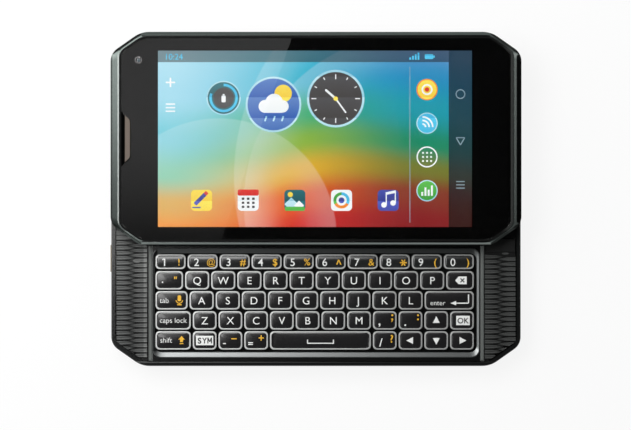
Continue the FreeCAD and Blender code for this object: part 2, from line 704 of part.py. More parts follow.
def keyboard_deck():
    """The plate around the keys, with seats for the grips and for the slide plate."""
    body = new_body("keyboard_deck")
    shell_pad(body, "deck_inset", "web_top", "deck_height")
    well = rectangle(
        "-trim_half_length - fit_gap", "trim_low - fit_gap",
        "trim_half_length + fit_gap", "trim_high + fit_gap",
    )
    pocket(body, well, "web_top", "deck_height")
    dress(body, "Fillet", "trim_radius", standing_at(well))
    past, edge = "half_length + seam", "grip_inner - fit_gap"
    for left, right in ((f"-({past})", f"-({edge})"), (edge, past)):
        low = (left, "-half_width", "grip_seat")
        high = (right, "deck_end + fit_gap", "deck_height + seam")
        body_box(body, "Subtractive", low, high)
    rib_low, rib_high = "-half_width + rib_margin", "deck_end - fit_gap"
    rib_outer = "(rib_inner + rib_width)"
    for left, right in (("-" + rib_outer, "-rib_inner"), ("rib_inner", rib_outer)):
        low = (left, rib_low, "deck_height - seam")
        body_box(body, "Additive", low, (right, rib_high, "rib_height"))
    dress(body, "Fillet", "rib_proud * 0.8", level("rib_height"))
    low = ("-plate_half_length - fit_gap", "plate_low - fit_gap", "plate_floor")
    high = ("plate_half_length + fit_gap", "plate_high + fit_gap", "deck_height + seam")
    body_box(body, "Subtractive", low, high)
    for x, y in SCREWS:
        start = (x + "screw_x", y + "screw_y", "web_top - seam")
        hole = "screw_radius + screw_clearance"
        body_rod(body, "Subtractive", start, hole, "case_screw_length + seam")
    body_box(body, "Subtractive", *flex_slot("web_top - seam", "plate_floor + seam"))
    node(body, "keyboard_deck")


def grip(name, side):
    """A ridged rubber insert at one end of the deck."""
    body = new_body(name)
    shell_pad(body, "deck_inset", "grip_seat", "grip_height")
    past_x, past_y = "(half_length + seam)", "(half_width + seam)"
    low, high = "grip_seat - seam", "grip_height + seam"
    across = (("-grip_inner", past_x) if side == "-" else ("-" + past_x, "grip_inner"))
    body_box(body, "Subtractive", (across[0], "-" + past_y, low), (across[1], past_y, high))
    body_box(body, "Subtractive", ("-" + past_x, "deck_end", low), (past_x, past_y, high))
    start = "(-half_width + deck_inset + grip_pitch / 2)"
    ends = ("-" + past_x, "-grip_inner + seam") if side == "-" else ("grip_inner - seam", past_x)
    groove = rectangle(ends[0], start, ends[1], f"{start} + grip_groove")
    cutter = pocket(body, groove, "grip_height - grip_depth", "grip_height")
    pattern = body.newObject("PartDesign::LinearPattern", "grooves")
    pattern.Originals = [cutter]
    pattern.Direction = (cutter.Profile[0], ["V_Axis"])
    count = int(size(f"(deck_end - {start}) / grip_pitch"))
    pattern.Occurrences = count
    bind(pattern, "Length", f"grip_pitch * {count - 1}")
    body.Tip = pattern
    node(body, name)


def keyboard_trim():
    """The silver frame around the keys, bevelled towards them."""
    body = new_body("keyboard_trim")
    outside = rectangle("-trim_half_length", "trim_low", "trim_half_length", "trim_high")
    pad(body, outside, "web_top + seat_gap", "trim_height")
    dress(body, "Fillet", "trim_radius", standing_at(outside))
    inside = rectangle("opening_left", "opening_low", "opening_right", "opening_high")
    pocket(body, inside, "web_top + seat_gap", "trim_height")
    dress(body, "Fillet", "trim_opening_radius", standing_at(inside))
    rim = level("trim_height")
    left, right = size("opening_left") - TINY, size("opening_right") + TINY
    low, high = size("opening_low") - TINY, size("opening_high") + TINY

    def around_opening(edge):
        space = edge.BoundBox
        beside = space.XMin > left and space.XMax < right
        return rim(edge) and beside and space.YMin > low and space.YMax < high

    dress(body, "Chamfer", "trim_bevel", around_opening)
    node(body, "keyboard_trim")


# ---------------------------------------------------------------- base half: keyboard
def keyboard_sheet(name, low, high):
    left, right = "opening_left + fit_gap", "opening_right - fit_gap"
    bottom, top = "opening_low + fit_gap", "opening_high - fit_gap"
    sheet_box = box((left, bottom, low), (right, top, high))
    node(rounded(sheet_box, "trim_opening_radius", upright), name)


def key_cap(left, width, top, depth):
    """One key: a rounded tile with a bevelled upper edge."""
    low = (left, f"{top} - {depth}", "key_low")
    high = (f"{left} + {width}", top, "key_high")
    tile = rounded(box(low, high), "key_corner", upright)
    doc.recompute()
    item = doc.addObject("Part::Chamfer", "key")
    item.Base = tile
    bevel = size("key_edge")
    at_top = level("key_high")
    item.Edges = [(n, bevel, bevel) for n, edge in enumerate(tile.Shape.Edges, 1) if at_top(edge)]
    return item


# Each row: depth of its keys, and its keys from left to right as (node, cells, width of a cell).
ENTER_CELL = "(row_cells - tab_cell - 9 * letter_pitch)"
KEY_ROWS = (
    ("number_key_depth", [("number_keys", 1, "(row_cells / 10)")] * 10),
    (
        "key_depth",
        [("quote_key", 1, "end_cell")]
        + [("top_letter_keys", 1, "letter_pitch")] * 10
        + [("backspace_key", 1, "end_cell")],
    ),
    (
        "key_depth",
        [("tab_key", 1, "tab_cell")]
        + [("home_letter_keys", 1, "letter_pitch")] * 9
        + [("enter_key", 1, ENTER_CELL)],
    ),
    (
        "key_depth",
        [("caps_lock_key", 1, "shift_cell")]
        + [("bottom_letter_keys", 1, "lower_pitch")] * 7
        + [(name, 1, "lower_pitch") for name in ("comma_key", "period_key", "up_key", "ok_key")],
    ),
    (
        "key_depth",
        [("shift_key", 1, "shift_cell")]
        + [(name, 1, "lower_pitch") for name in ("symbol_key", "minus_key", "equals_key")]
        + [("space_key", 4, "lower_pitch")]
        + [(name, 1, "lower_pitch") for name in ("slash_key", "left_key", "down_key", "right_key")],
    ),
)


def keys():
    made = {}
    top = "keys_top"
    for number, (depth, row) in enumerate(KEY_ROWS):
        left = "keys_left"
        for name, cells, cell in row:
            cap = key_cap(left, f"({cells} * {cell} - key_gap)", top, depth)
            made.setdefault(name, []).append(cap)
            left += f" + {cells} * {cell}"
        gap = "key_gap" if number == 0 else "row_gap"
        top += f" - {depth} - {gap}"
    for name, caps in made.items():
        node(caps[0] if len(caps) == 1 else group(caps), name)


# ---------------------------------------------------------------- base half: inside
def main_board():
    """The L-shaped circuit board, under the web."""
    outline = octagon("board_inset", "board_inset", "board_inset")
    strip, wing = "board_strip_edge", "board_wing_edge"
    points = [
        outline[0], (wing, outline[0][1]), (wing, strip), (outline[3][0], strip),
        outline[3], outline[4], outline[5], outline[6], outline[7],
    ]
    body = new_body("main_board")
    pad(body, points, "board_low", "under_web")
    half = "(camera_side / 2 + 2 * fit_gap)"
    low, high = "board_low - seam", "under_web + seam"
    camera = ((f"camera_x - {half}", "-" + half, low), (f"camera_x + {half}", half, high))
    body_box(body, "Subtractive", *camera)
    half = "(jack_width / 2 + 2 * fit_gap)"
    inner = "-end_inside + jack_length + 4 * fit_gap"
    jack = (("-half_length", f"jack_y - {half}", low), (inner, f"jack_y + {half}", high))
    body_box(body, "Subtractive", *jack)
    for y in ("-", ""):
        start = ("-screw_x", y + "screw_y", low)
        hole = "screw_head_radius + 2 * fit_gap"
        body_rod(body, "Subtractive", start, hole, "board_thick + 2 * seam")
    node(body, "main_board")


def shield_can(left, low, length, width):
    """A pressed steel can, open towards the board."""
    bottom = "under_board - can_thick"
    outside = box(
        (left, low, bottom), (f"{left} + {length}", f"{low} + {width}", "under_board")
    )
    inside = box(
        (f"{left} + can_wall", f"{low} + can_wall", f"{bottom} + can_wall"),
        (f"{left} + {length} - can_wall", f"{low} + {width} - can_wall", "under_board + seam"),
    )
    return cut(outside, inside)


def shield_cans():
    strip, under_strip = "board_strip_edge + can_margin", "board_strip_edge - battery_space"
    right_can = "strip_cans_apart / 2"
    left_can = "-left_can_length - strip_cans_apart / 2"
    tall_low = "seat_gap + socket_depth + 2 * can_margin - frame_inside"
    tall_can = f"(-camera_side / 2 - 2 * can_margin - ({tall_low}))"
    tall_left, wing_left = "camera_x - small_can / 2", "board_wing_edge - can_margin - small_can"
    cans = (
        (wing_left, under_strip + " - small_can", "small_can", "small_can"),
        (tall_left, tall_low, "small_can", tall_can),
        (left_can, strip, "left_can_length", "strip_can_width"),
        (right_can, strip, "right_can_length", "strip_can_width"),
    )
    node(group(shield_can(*can) for can in cans), "shield_cans")


def battery():
    block = box(
        ("battery_left", "battery_low", "cover_floor"),
        ("battery_right", "battery_high", "cover_floor + battery_thick"),
    )
    node(rounded(block, "battery_radius", upright), "battery")


def rear_camera():
    half = "(camera_side / 2)"
    barrel_top = "cover_floor + camera_barrel_height"
    module = box((f"camera_x - {half}", "-" + half, barrel_top), (f"camera_x + {half}", half, "under_web"))
    start = ("camera_x", "0", "cover_floor")
    barrel = rod(start, "camera_barrel", "camera_barrel_height + seam")
    eye = rod(("camera_x", "0", "cover_floor - seam"), "camera_barrel / 2", "2 * seam")
    node(cut(fuse(module, barrel), eye), "rear_camera")


def windows():
    """The glass over the rear camera, and the flash lens with its module."""
    start = ("camera_x", "0", "back_recess")
    node(rod(start, "window_radius", "window_thick"), "camera_window")
    half = "(flash_side / 2)"
    low = (f"camera_x - {half}", f"flash_y - {half}", "cover_floor")
    high = (f"camera_x + {half}", f"flash_y + {half}", "under_board")
    start = ("camera_x", "flash_y", "back_recess")
    lens = rod(start, "flash_radius", "cover_floor - back_recess + seam")
    node(fuse(box(low, high), lens), "flash_lens")


def loudspeaker():
    half_x, half_y = "(speaker_length / 2)", "(speaker_width / 2)"
    low = (f"speaker_x - {half_x}", f"speaker_y - {half_y}", "cover_floor")
    high = (f"speaker_x + {half_x}", f"speaker_y + {half_y}", "under_web")
    node(rounded(box(low, high), "battery_radius", upright), "loudspeaker")
    top = "back_recess + grille_thick"
    plate = box(*grille_corners("0", "back_recess", top))
    columns = int(size("(grille_length - 2 * grille_hole) / grille_pitch"))
    rows = int(size("(grille_width - 2 * grille_hole) / grille_pitch"))
    holes = []
    for column in range(columns):
        for row in range(rows):
            x = f"speaker_x + grille_pitch * {column - (columns - 1) / 2}"
            y = f"speaker_y + grille_pitch * {row - (rows - 1) / 2}"
            start = (x, y, "back_recess - seam")
            holes.append(rod(start, "grille_hole", "grille_thick + 2 * seam"))
    node(cut(plate, group(holes)), "speaker_grille")
    start = ("speaker_x", "motor_y", "under_web - motor_thick")
    node(rod(start, "motor_radius", "motor_thick"), "vibration_motor")


def sockets():
    """The headphone jack and the two data sockets."""
    front, half = "(-end_inside + seat_gap)", "(jack_width / 2)"
    low = (front, f"jack_y - {half}", "cover_floor")
    high = (f"{front} + jack_length", f"jack_y + {half}", "cover_floor + jack_thick")
    start = (front + " - seam", "jack_y", "jack_middle_height")
    bore = rod(start, "jack_bore", "jack_bore_depth + seam", "x")
    node(cut(box(low, high), bore), "headphone_jack")
    front, floor = "(-frame_inside + seat_gap)", "under_board - socket_thick"
    sizes = (("usb_socket", "usb_x", "usb_width"), ("hdmi_socket", "hdmi_x", "hdmi_width"))
    for name, middle, width in sizes:
        half = f"({width} / 2)"
        low = (f"{middle} - {half}", front, floor)
        high = (f"{middle} + {half}", f"{front} + socket_depth", "under_board")
        inner_low = (f"{middle} - {half} + socket_wall", f"{front} - seam", f"{floor} + socket_wall")
        inner_high = (
            f"{middle} + {half} - socket_wall",
            f"{front} + socket_depth - socket_wall",
            "under_board - socket_wall",
        )
        tongue_low = (
            f"{middle} - {half} / 2", f"{front} + 2 * socket_wall",
            f"{floor} + socket_thick / 2 - socket_wall / 2",
        )
        tongue_high = (
            f"{middle} + {half} / 2", f"{front} + socket_depth - socket_wall / 2",
            f"{floor} + socket_thick / 2 + socket_wall / 2",
        )
        shell = cut(box(low, high), box(inner_low, inner_high))
        node(fuse(shell, box(tongue_low, tongue_high)), name)


def screw(x, y, head_low, shank_length):
    """A small round-head screw that points up, with a drive recess below."""
    head = rod((x, y, head_low), "screw_head_radius", "screw_head_thick")
    shank = rod((x, y, head_low), "screw_radius", f"screw_head_thick + {shank_length}")
    drive = rod((x, y, f"{head_low} - seam"), "screw_drive", "screw_head_thick / 2 + seam")
    return cut(fuse(head, shank), drive)


def case_screws():
    head = "web_height - screw_head_thick"
    made = [screw(x + "screw_x", y + "screw_y", head, "case_screw_length") for x, y in SCREWS]
    node(group(made), "case_screws")


# ---------------------------------------------------------------- side buttons
def side_button(name, side, middle, length):
    """A cap in a slot of the frame, with a flange inside that keeps it in; side is x or y."""
    half = f"({length} / 2)"
    if side == "x":
        outer, inside = "(-half_length - button_proud)", "(-end_inside + button_travel)"
        flange = f"({inside} + button_flange)"
        cap_low = (outer, f"{middle} - {half}", "button_low")
        cap_high = (flange, f"{middle} + {half}", "button_high")
        flange_low = (inside, f"{middle} - {half} - button_lip", "button_low - button_lip")
        flange_high = (flange, f"{middle} + {half} + button_lip", "button_high + button_lip")
    else:
        outer, inside = "(half_width + button_proud)", "(frame_inside - button_travel)"
        flange = f"({inside} - button_flange)"
        cap_low = (f"{middle} - {half}", flange, "button_low")
        cap_high = (f"{middle} + {half}", outer, "button_high")
        flange_low = (f"{middle} - {half} - button_lip", flange, "button_low - button_lip")
        flange_high = (f"{middle} + {half} + button_lip", inside, "button_high + button_lip")
    return node(fuse(box(cap_low, cap_high), box(flange_low, flange_high)), name)


# ---------------------------------------------------------------- slide module
def slide_plate():
    """The steel plate on the base, with two T-shaped runners and two spring pins."""
    body = new_body("slide_plate")
    body_box(
        body, "Additive",
        ("-plate_half_length", "plate_low", "plate_floor"),
        ("plate_half_length", "plate_high", "deck_height"),
    )
    for side in ("-", ""):
        middle = side + "runner_x"
        stem_low = (f"{middle} - stem_width / 2", "runner_low", "deck_height - seam")
        stem_high = (f"{middle} + stem_width / 2", "runner_high", "head_low + seam")
        body_box(body, "Additive", stem_low, stem_high)
        head_low = (f"{middle} - head_width / 2", "runner_low", "head_low")
        head_high = (f"{middle} + head_width / 2", "runner_high", "head_high")
        body_box(body, "Additive", head_low, head_high)
        start = (side + "base_pin_x", "base_pin_y", "deck_height - seam")
        body_rod(body, "Additive", start, "pin_radius", "spring_high - deck_height + seam")
    body_box(body, "Subtractive", *flex_slot("plate_floor - seam", "deck_height + seam"))
    node(body, "slide_plate")


def slide_rails():
    """Two C-shaped steel rails in the screen half, each around one runner."""
    made = []
    for side in ("-", ""):
        middle = side + "runner_x"
        low, high = "slide_travel - rail_half_length", "slide_travel + rail_half_length"
        outside = box(
            (f"{middle} - (rail_outside)", low, "rail_low"),
            (f"{middle} + (rail_outside)", high, "rail_high"),
        )
        inside = box(
            (f"{middle} - (rail_inside)", f"{low} - seam", "rail_low + rail_sheet"),
            (f"{middle} + (rail_inside)", f"{high} + seam", "rail_high - rail_sheet"),
        )
        slot = box(
            (f"{middle} - (stem_slot)", f"{low} - seam", "rail_low - seam"),
            (f"{middle} + (stem_slot)", f"{high} + seam", "rail_low + rail_sheet + seam"),
        )
        made.append(cut(outside, inside, slot))
    node(group(made), "slide_rails")


def vector(x, y, z):
    return FreeCAD.Vector(size(x), size(y), size(z))


def rounded_path(points, radii):
    """A wire along the points, with an arc of its own radius at each inner point."""
    edges, here = [], points[0]
    for before, corner, after, radius in zip(points, points[1:], points[2:], radii):
        back, on = (before - corner).normalize(), (after - corner).normalize()
        half = back.getAngle(on) / 2
        start = corner + back * (radius / math.tan(half))
        end = corner + on * (radius / math.tan(half))
        bisector = (back + on).normalize()
        middle = corner + bisector * (radius / math.sin(half) - radius)
        edges.append(Part.LineSegment(here, start).toShape())
        edges.append(Part.Arc(start, middle, end).toShape())
        here = end
    edges.append(Part.LineSegment(here, points[-1]).toShape())
    return Part.Wire(edges)


def feature(shape, name):
    item = doc.addObject("Part::Feature", name)
    item.Shape = shape
    return node(item, name)


def slide_springs():
    """Two wire springs that snap the screen half open or closed, each hooked on two pins."""
    wire = size("spring_wire")
    eye = size("pin_radius + spring_wire + seat_gap")
    made = []
    for side in (-1, 1):
        height = size("spring_middle")
        base = FreeCAD.Vector(side * size("base_pin_x"), size("base_pin_y"), height)
        screen = FreeCAD.Vector(
            side * size("display_pin_x"), size("slide_travel + display_pin_y"), height
        )
        reach = (screen - base).Length
        outward = FreeCAD.Vector(side, 0, 0)
        along = (screen - base).normalize()
        points = [
            base + along * eye,
            base + outward * reach * 0.38 + along * reach * 0.30,
            base + outward * reach * 0.38 + along * reach * 1.0,
            screen + outward * eye,
        ]
        path = rounded_path(points, [reach * 0.16, reach * 0.16])
        start = path.Edges[0]
        section = Part.Wire(
            Part.makeCircle(wire, points[0], start.tangentAt(start.FirstParameter))
        )
        body = path.makePipeShell([section], True, True)
        for pin in (base, screen):
            body = body.fuse(Part.makeTorus(eye, wire, pin, FreeCAD.Vector(0, 0, 1)))
        made.append(body)
    feature(Part.makeCompound(made), "slide_springs")


def flex_cable():
    """The flat cable from the main board to the screen half, folded back over the slide plate."""
    lower = "deck_height + seat_gap + flex_thick"
    upper = "recess_top - seat_gap - flex_thick / 2"
    slot, turn = "flex_slot_y", "flex_turn_y"
    under = "web_height - seat_gap - flex_thick"
    points = [
        vector("0", "board_strip_edge - fit_gap", under),
        vector("0", slot, under),
        vector("0", slot, lower),
        vector("0", turn, lower),
        vector("0", turn, upper),
        vector("0", "slide_travel + flex_end_y", upper),
    ]
    bend = 2 * size("flex_thick")
    fold = size(f"(({upper}) - ({lower})) / 2") * 0.95
    path = rounded_path(points, [bend, bend, fold, fold])
    half, thick = size("flex_width / 2"), size("flex_thick / 2")
    y, z = points[0].y, points[0].z
    corners = [(-half, -thick), (half, -thick), (half, thick), (-half, thick), (-half, -thick)]
    section = Part.makePolygon([FreeCAD.Vector(x, y, z + up) for x, up in corners])
    feature(path.makePipeShell([section], True, False), "flex_cable")


# ---------------------------------------------------------------- screen half
SCREEN = "slide_travel"


def display_back_cover():
    """The underside of the screen half, with slots for the runners and spring pins."""
    body = new_body("display_back_cover")
    shell_pad(body, "0", "display_low", "back_top", SCREEN)
    dress(body, "Chamfer", "back_edge", level("display_low"))
    low = ("-recess_half_length", f"{SCREEN} - recess_half_width", "display_low - seam")
    high = ("recess_half_length", f"{SCREEN} + recess_half_width", "recess_top")
    body_box(body, "Subtractive", low, high)
    half = "((stem_slot) + slot_wider)"
    for side in ("-", ""):
        middle = side + "runner_x"
        low = (f"{middle} - {half}", f"{SCREEN} - rail_half_length", "display_low - seam")
        high = (f"{middle} + {half}", f"{SCREEN} + rail_half_length + slot_wider", "back_top + seam")
        body_box(body, "Subtractive", low, high)
        start = (side + "display_pin_x", f"{SCREEN} + display_pin_y", "base_thick + 2 * pin_gap")
        body_rod(body, "Additive", start, "pin_radius", "recess_top - base_thick - pin_gap")
    for x, y in SCREWS:
        spot = (x + "screw_x", f"{SCREEN} {y or '+'} display_screw_y")
        through = "screw_radius + screw_clearance"
        body_rod(body, "Subtractive", (*spot, "display_low - seam"), through, "back_thick + 2 * seam")
        seat = "screw_head_radius + screw_clearance"
        depth = "screw_head_thick + seat_gap + seam"
        body_rod(body, "Subtractive", (*spot, "display_low - seam"), seat, depth)
    node(body, "display_back_cover")


def display_frame():
    """The frame of the screen half, with four screw bosses."""
    body = new_body("display_frame")
    shell_pad(body, "0", "back_top + seat_gap", "frame_top", SCREEN)
    insets = ("cavity_end", "cavity_side", "cavity_corner")
    shell_pocket(body, insets, "back_top + seat_gap", "frame_top", SCREEN)
    wall = "(half_length - cavity_end)"
    for x, y in SCREWS:
        inner, outer = f"{wall} + 2 * seam - boss_width", f"{wall} + 2 * seam"
        left, right = (f"-({outer})", f"-({inner})") if x else (inner, outer)
        middle = f"{SCREEN} {y or '+'} display_screw_y"
        low = (left, f"{middle} - boss_depth / 2", "back_top + seat_gap")
        high = (right, f"{middle} + boss_depth / 2", "rail_high")
        body_box(body, "Additive", low, high)
        start = (x + "screw_x", middle, "back_top")
        hole = "screw_radius + screw_clearance"
        body_rod(body, "Subtractive", start, hole, "display_screw_length")
    node(body, "display_frame")


def bezel_ring():
    """The metal bezel: upright below, then sloping up to a flat rim around the glass."""
    body = new_body("bezel_ring")
    outside = octagon("0", "0", "0", SCREEN)
    pad(body, outside, "bezel_low", "bezel_bend", "0")
    rim = octagon("bezel_end - bezel_rim", "bezel_side - bezel_rim", "bezel_corner - bezel_rim", SCREEN)
    loft = body.newObject("PartDesign::AdditiveLoft", "slope")
    loft.Profile = rounded_sketch(body, outside, "0", "bezel_bend")
    loft.Sections = [rounded_sketch(body, rim, "bezel_corner - bezel_rim", "phone_thick")]
    loft.Ruled = True
    doc.recompute()
    opening = octagon("bezel_end", "bezel_side", "bezel_corner", SCREEN)
    pocket(body, opening, "bezel_low", "phone_thick", "bezel_corner")
    node(body, "bezel_ring")


def display_stack():
    """Carrier plate, display panel and cover glass."""
    inside = "(half_width - cavity_side - fit_gap)"
    low = ("-carrier_half_length", f"{SCREEN} - {inside}", "carrier_low")
    high = ("carrier_half_length", f"{SCREEN} + {inside}", "carrier_high")
    node(box(low, high), "display_plate")
    low = ("-lcd_half_length", f"{SCREEN} - lcd_half_width", "lcd_low")
    high = ("lcd_half_length", f"{SCREEN} + lcd_half_width", "under_glass")
    node(box(low, high), "lcd_panel")
    body = new_body("cover_glass")
    insets = [f"{bezel} + glass_gap" for bezel in ("bezel_end", "bezel_side", "bezel_corner")]
    corners = octagon(*insets, SCREEN)
    pad(body, corners, "glass_low", "glass_high")
    round_outline(body, corners, insets[2])
    mouth, throat = "-glass_end", "-glass_end + earpiece_depth"
    notch = [
        (mouth + " - glass_gap / 2", f"{SCREEN} - earpiece_mouth"),
        (mouth, f"{SCREEN} - earpiece_mouth"),
        (throat, f"{SCREEN} - earpiece_throat"),
        (throat, f"{SCREEN} + earpiece_throat"),
        (mouth, f"{SCREEN} + earpiece_mouth"),
        (mouth + " - glass_gap / 2", f"{SCREEN} + earpiece_mouth"),
    ]
    pocket(body, notch, "glass_low", "glass_high")
    dress(body, "Chamfer", "glass_bevel", level("glass_high"))
    node(body, "cover_glass")


def earpiece():
    """The mesh in the notch of the glass, and the receiver under it."""
    body = new_body("earpiece_grille")
    slope = "(earpiece_mouth - earpiece_throat) / earpiece_depth"
    inner, outer = "-glass_end + earpiece_depth - fit_gap", "-(mesh_outer)"
    wide = f"(earpiece_throat - fit_gap + ({slope}) * mesh_depth)"
    narrow = "(earpiece_throat - fit_gap)"
    points = [
        (outer, f"{SCREEN} - {wide}"),
        (inner, f"{SCREEN} - {narrow}"),
        (inner, f"{SCREEN} + {narrow}"),
        (outer, f"{SCREEN} + {wide}"),
    ]
    pad(body, points, "glass_low", "glass_low + mesh_thick")
    node(body, "earpiece_grille")
    wall = "-(half_length - cavity_end) + seat_gap"
    low = (wall, f"{SCREEN} - receiver_width / 2", "under_glass - receiver_thick")
    high = (f"{wall} + receiver_length", f"{SCREEN} + receiver_width / 2", "under_glass")
    node(rounded(box(low, high), "key_corner", upright), "earpiece_receiver")


def front_camera():
    half, middle = "(front_camera_side / 2)", f"{SCREEN} + front_camera_y"
    shoulder = "(under_glass - 2 * front_camera_barrel / 2)"
    low = (f"front_camera_x - {half}", f"{middle} - {half}", "rail_low")
    high = (f"front_camera_x + {half}", f"{middle} + {half}", shoulder)
    start = ("front_camera_x", middle, shoulder + " - seam")
    barrel = rod(start, "front_camera_barrel", f"under_glass - {shoulder} + seam")
    node(fuse(box(low, high), barrel), "front_camera")


def display_screws():
    head = "display_low + seat_gap"
    made = []
    for x, y in SCREWS:
        middle = f"{SCREEN} {y or '+'} display_screw_y"
        made.append(screw(x + "screw_x", middle, head, "display_screw_length"))
    node(group(made), "display_screws")


# ---------------------------------------------------------------- build
rear_cover()
base_frame()
keyboard_deck()
grip("left_grip", "-")
grip("right_grip", "")
keyboard_trim()
keyboard_sheet("dome_sheet", "web_top + seat_gap", "dome_top")
keyboard_sheet("key_mat", "dome_top", "mat_top")
keys()
main_board()
shield_cans()
battery()
rear_camera()
windows()
loudspeaker()
sockets()
case_screws()
side_button("power_button", "x", "power_y", "power_length")
side_button("volume_rocker", "y", "rocker_x", "rocker_length")
side_button("camera_button", "y", "shutter_x", "shutter_length")
slide_plate()
slide_rails()
slide_springs()
flex_cable()
display_back_cover()
display_frame()
bezel_ring()
display_stack()
earpiece()
front_camera()
display_screws()
doc.recompute()

for item in doc.Objects:
    if {"Invalid", "Error"} & set(item.State):
        raise ValueError(f"{item.Label} ({item.Name}) failed: {item.State}")
for piece in NODES:
    if piece.Shape.isNull() or not piece.Shape.isValid():
        raise ValueError(f"{piece.Label} has no valid shape")

os.makedirs("parts", exist_ok=True)
for piece in NODES:
    piece.Shape.exportStep(f"parts/{piece.Label}.step")
    space = piece.Shape.BoundBox
    print(
        f"{piece.Label:20} {len(piece.Shape.Solids):3} {piece.Shape.Volume:9.2f}"
        f"  x {space.XMin:7.2f} {space.XMax:7.2f}  y {space.YMin:7.2f} {space.YMax:7.2f}"
        f"  z {space.ZMin:6.2f} {space.ZMax:6.2f}"
    )
print(len(NODES), "nodes")
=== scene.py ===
import math

import bpy
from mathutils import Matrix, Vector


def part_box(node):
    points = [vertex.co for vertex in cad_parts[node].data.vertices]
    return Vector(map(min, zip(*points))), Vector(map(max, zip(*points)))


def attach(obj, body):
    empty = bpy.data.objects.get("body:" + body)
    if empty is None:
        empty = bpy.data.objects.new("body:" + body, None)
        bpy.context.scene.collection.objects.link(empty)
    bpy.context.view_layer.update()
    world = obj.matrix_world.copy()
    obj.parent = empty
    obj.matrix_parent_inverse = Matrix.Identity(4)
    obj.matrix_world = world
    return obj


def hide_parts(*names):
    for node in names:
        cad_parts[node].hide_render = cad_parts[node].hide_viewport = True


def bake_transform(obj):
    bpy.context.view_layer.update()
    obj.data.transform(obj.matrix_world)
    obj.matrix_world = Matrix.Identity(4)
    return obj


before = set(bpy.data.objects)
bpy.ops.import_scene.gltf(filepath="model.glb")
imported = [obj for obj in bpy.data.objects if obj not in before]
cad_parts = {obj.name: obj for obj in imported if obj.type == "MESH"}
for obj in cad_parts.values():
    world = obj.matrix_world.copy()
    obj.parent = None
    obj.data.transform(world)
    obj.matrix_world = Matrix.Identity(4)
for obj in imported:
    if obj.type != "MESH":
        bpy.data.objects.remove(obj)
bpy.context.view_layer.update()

# ------------------------------------------------------------------ studio
# A white table top, two soft boxes behind the phone, a pale card hanging low over its left
# half, a strip lamp at either end, and a room that is dim overhead.
mm = 0.001


class Signal:
    """What comes out of a node. Arithmetic on signals adds Math nodes."""

    def __init__(self, wires, socket):
        self.wires, self.socket = wires, socket

    def __add__(self, other):
        return self.wires.math("ADD", self, other)

    def __sub__(self, other):
        return self.wires.math("SUBTRACT", self, other)

    def __rsub__(self, other):
        return self.wires.math("SUBTRACT", other, self)

    def __mul__(self, other):
        return self.wires.math("MULTIPLY", self, other)

    def __truediv__(self, other):
        return self.wires.math("DIVIDE", self, other)

    __radd__, __rmul__ = __add__, __mul__


class Wires:
    """The nodes of a lamp, of the room or of one material."""

    def __init__(self, tree):
        self.tree = tree

    def node(self, kind, settings, sockets, output=0):
        """Add a node and say which of its outputs is meant."""
        made = self.tree.nodes.new("ShaderNode" + kind)
        for name, value in settings.items():
            if name == "stops":
                band = made.color_ramp.elements
                band.remove(band[1])
                band[0].position, band[0].color = value[0]
                for position, colour in value[1:]:
                    band.new(position).color = colour
            elif hasattr(made, name):
                setattr(made, name, value)
            else:
                setattr(made.color_ramp, name, value)
        for name, value in sockets.items():
            self.join(made.inputs[name], value)
        return Signal(self, made.outputs[output])

    def join(self, entry, value):
        """Wire a signal to a socket, or set a plain value on it."""
        if isinstance(value, Signal):
            self.tree.links.new(value.socket, entry)
        else:
            entry.default_value = value

    def math(self, operation, *numbers):
        return self.node("Math", {"operation": operation}, dict(enumerate(numbers)))

    def between(self, value, low, high, start=0.0, end=1.0):
        """A smooth change from start to end while the value runs from low to high."""
        return self.node(
            "MapRange", {"interpolation_type": "SMOOTHSTEP"},
            {"Value": value, 1: low, 2: high, 3: start, 4: end},
        )

    def band(self, value, start, full, fading, end):
        """1 from full to fading, 0 before start and after end, smooth in between."""
        return self.between(value, start, full) * self.between(value, fading, end, 1.0, 0.0)

    def mix(self, share, first, second):
        """The colour first where share is 0, and second where it is 1."""
        return self.node("Mix", {"data_type": "RGBA"}, {0: share, 6: first, 7: second}, 2)

    def along(self, vector):
        """The X, Y and Z of a vector."""
        parted = self.node("SeparateXYZ", {}, {"Vector": vector})
        return [Signal(self, socket) for socket in parted.socket.node.outputs]


def tint(red, green, blue):
    """A colour as it is named on a screen, from 0 to 255."""
    parts = [part / 255 for part in (red, green, blue)]
    return [p / 12.92 if p < 0.04045 else ((p + 0.055) / 1.055) ** 2.4 for p in parts] + [1.0]


room = bpy.context.scene.world or bpy.data.worlds.new("room")
bpy.context.scene.world = room
room.use_nodes = True
air = Wires(room.node_tree)
heading = air.along(air.node("TexCoord", {}, {}, "Generated"))
backdrop = air.between(heading[2], 0.12, 0.42, 0.8, 0.0)
left_wall = air.between(heading[0], -0.75, 0.3, 0.46, 0.06)
right_wall = air.between(heading[0], 0.62, 0.86, 0.0, 0.35)
ceiling = air.between(heading[2], 0.86, 0.97, 1.0, 0.12)
shine = room.node_tree.nodes["Background"].inputs
air.join(shine["Color"], tint(250, 255, 254))
air.join(shine["Strength"], backdrop + left_wall * ceiling + right_wall)


def soft_lamp(name, place, aim, size, radiance, turn=0.0):
    """A rectangular lamp that shines from place towards aim."""
    bpy.ops.object.light_add(type="AREA", location=place)
    lamp = bpy.context.object
    lamp.name = name
    lamp.data.shape = "RECTANGLE"
    lamp.data.size, lamp.data.size_y = size
    lamp.data.energy = radiance * size[0] * size[1] * math.pi
    way = Vector(place) - Vector(aim)
    lamp.rotation_euler = way.to_track_quat("Z", "Y").to_euler()
    lamp.rotation_euler.rotate_axis("Z", turn)
    lamp.visible_camera = False
    return lamp


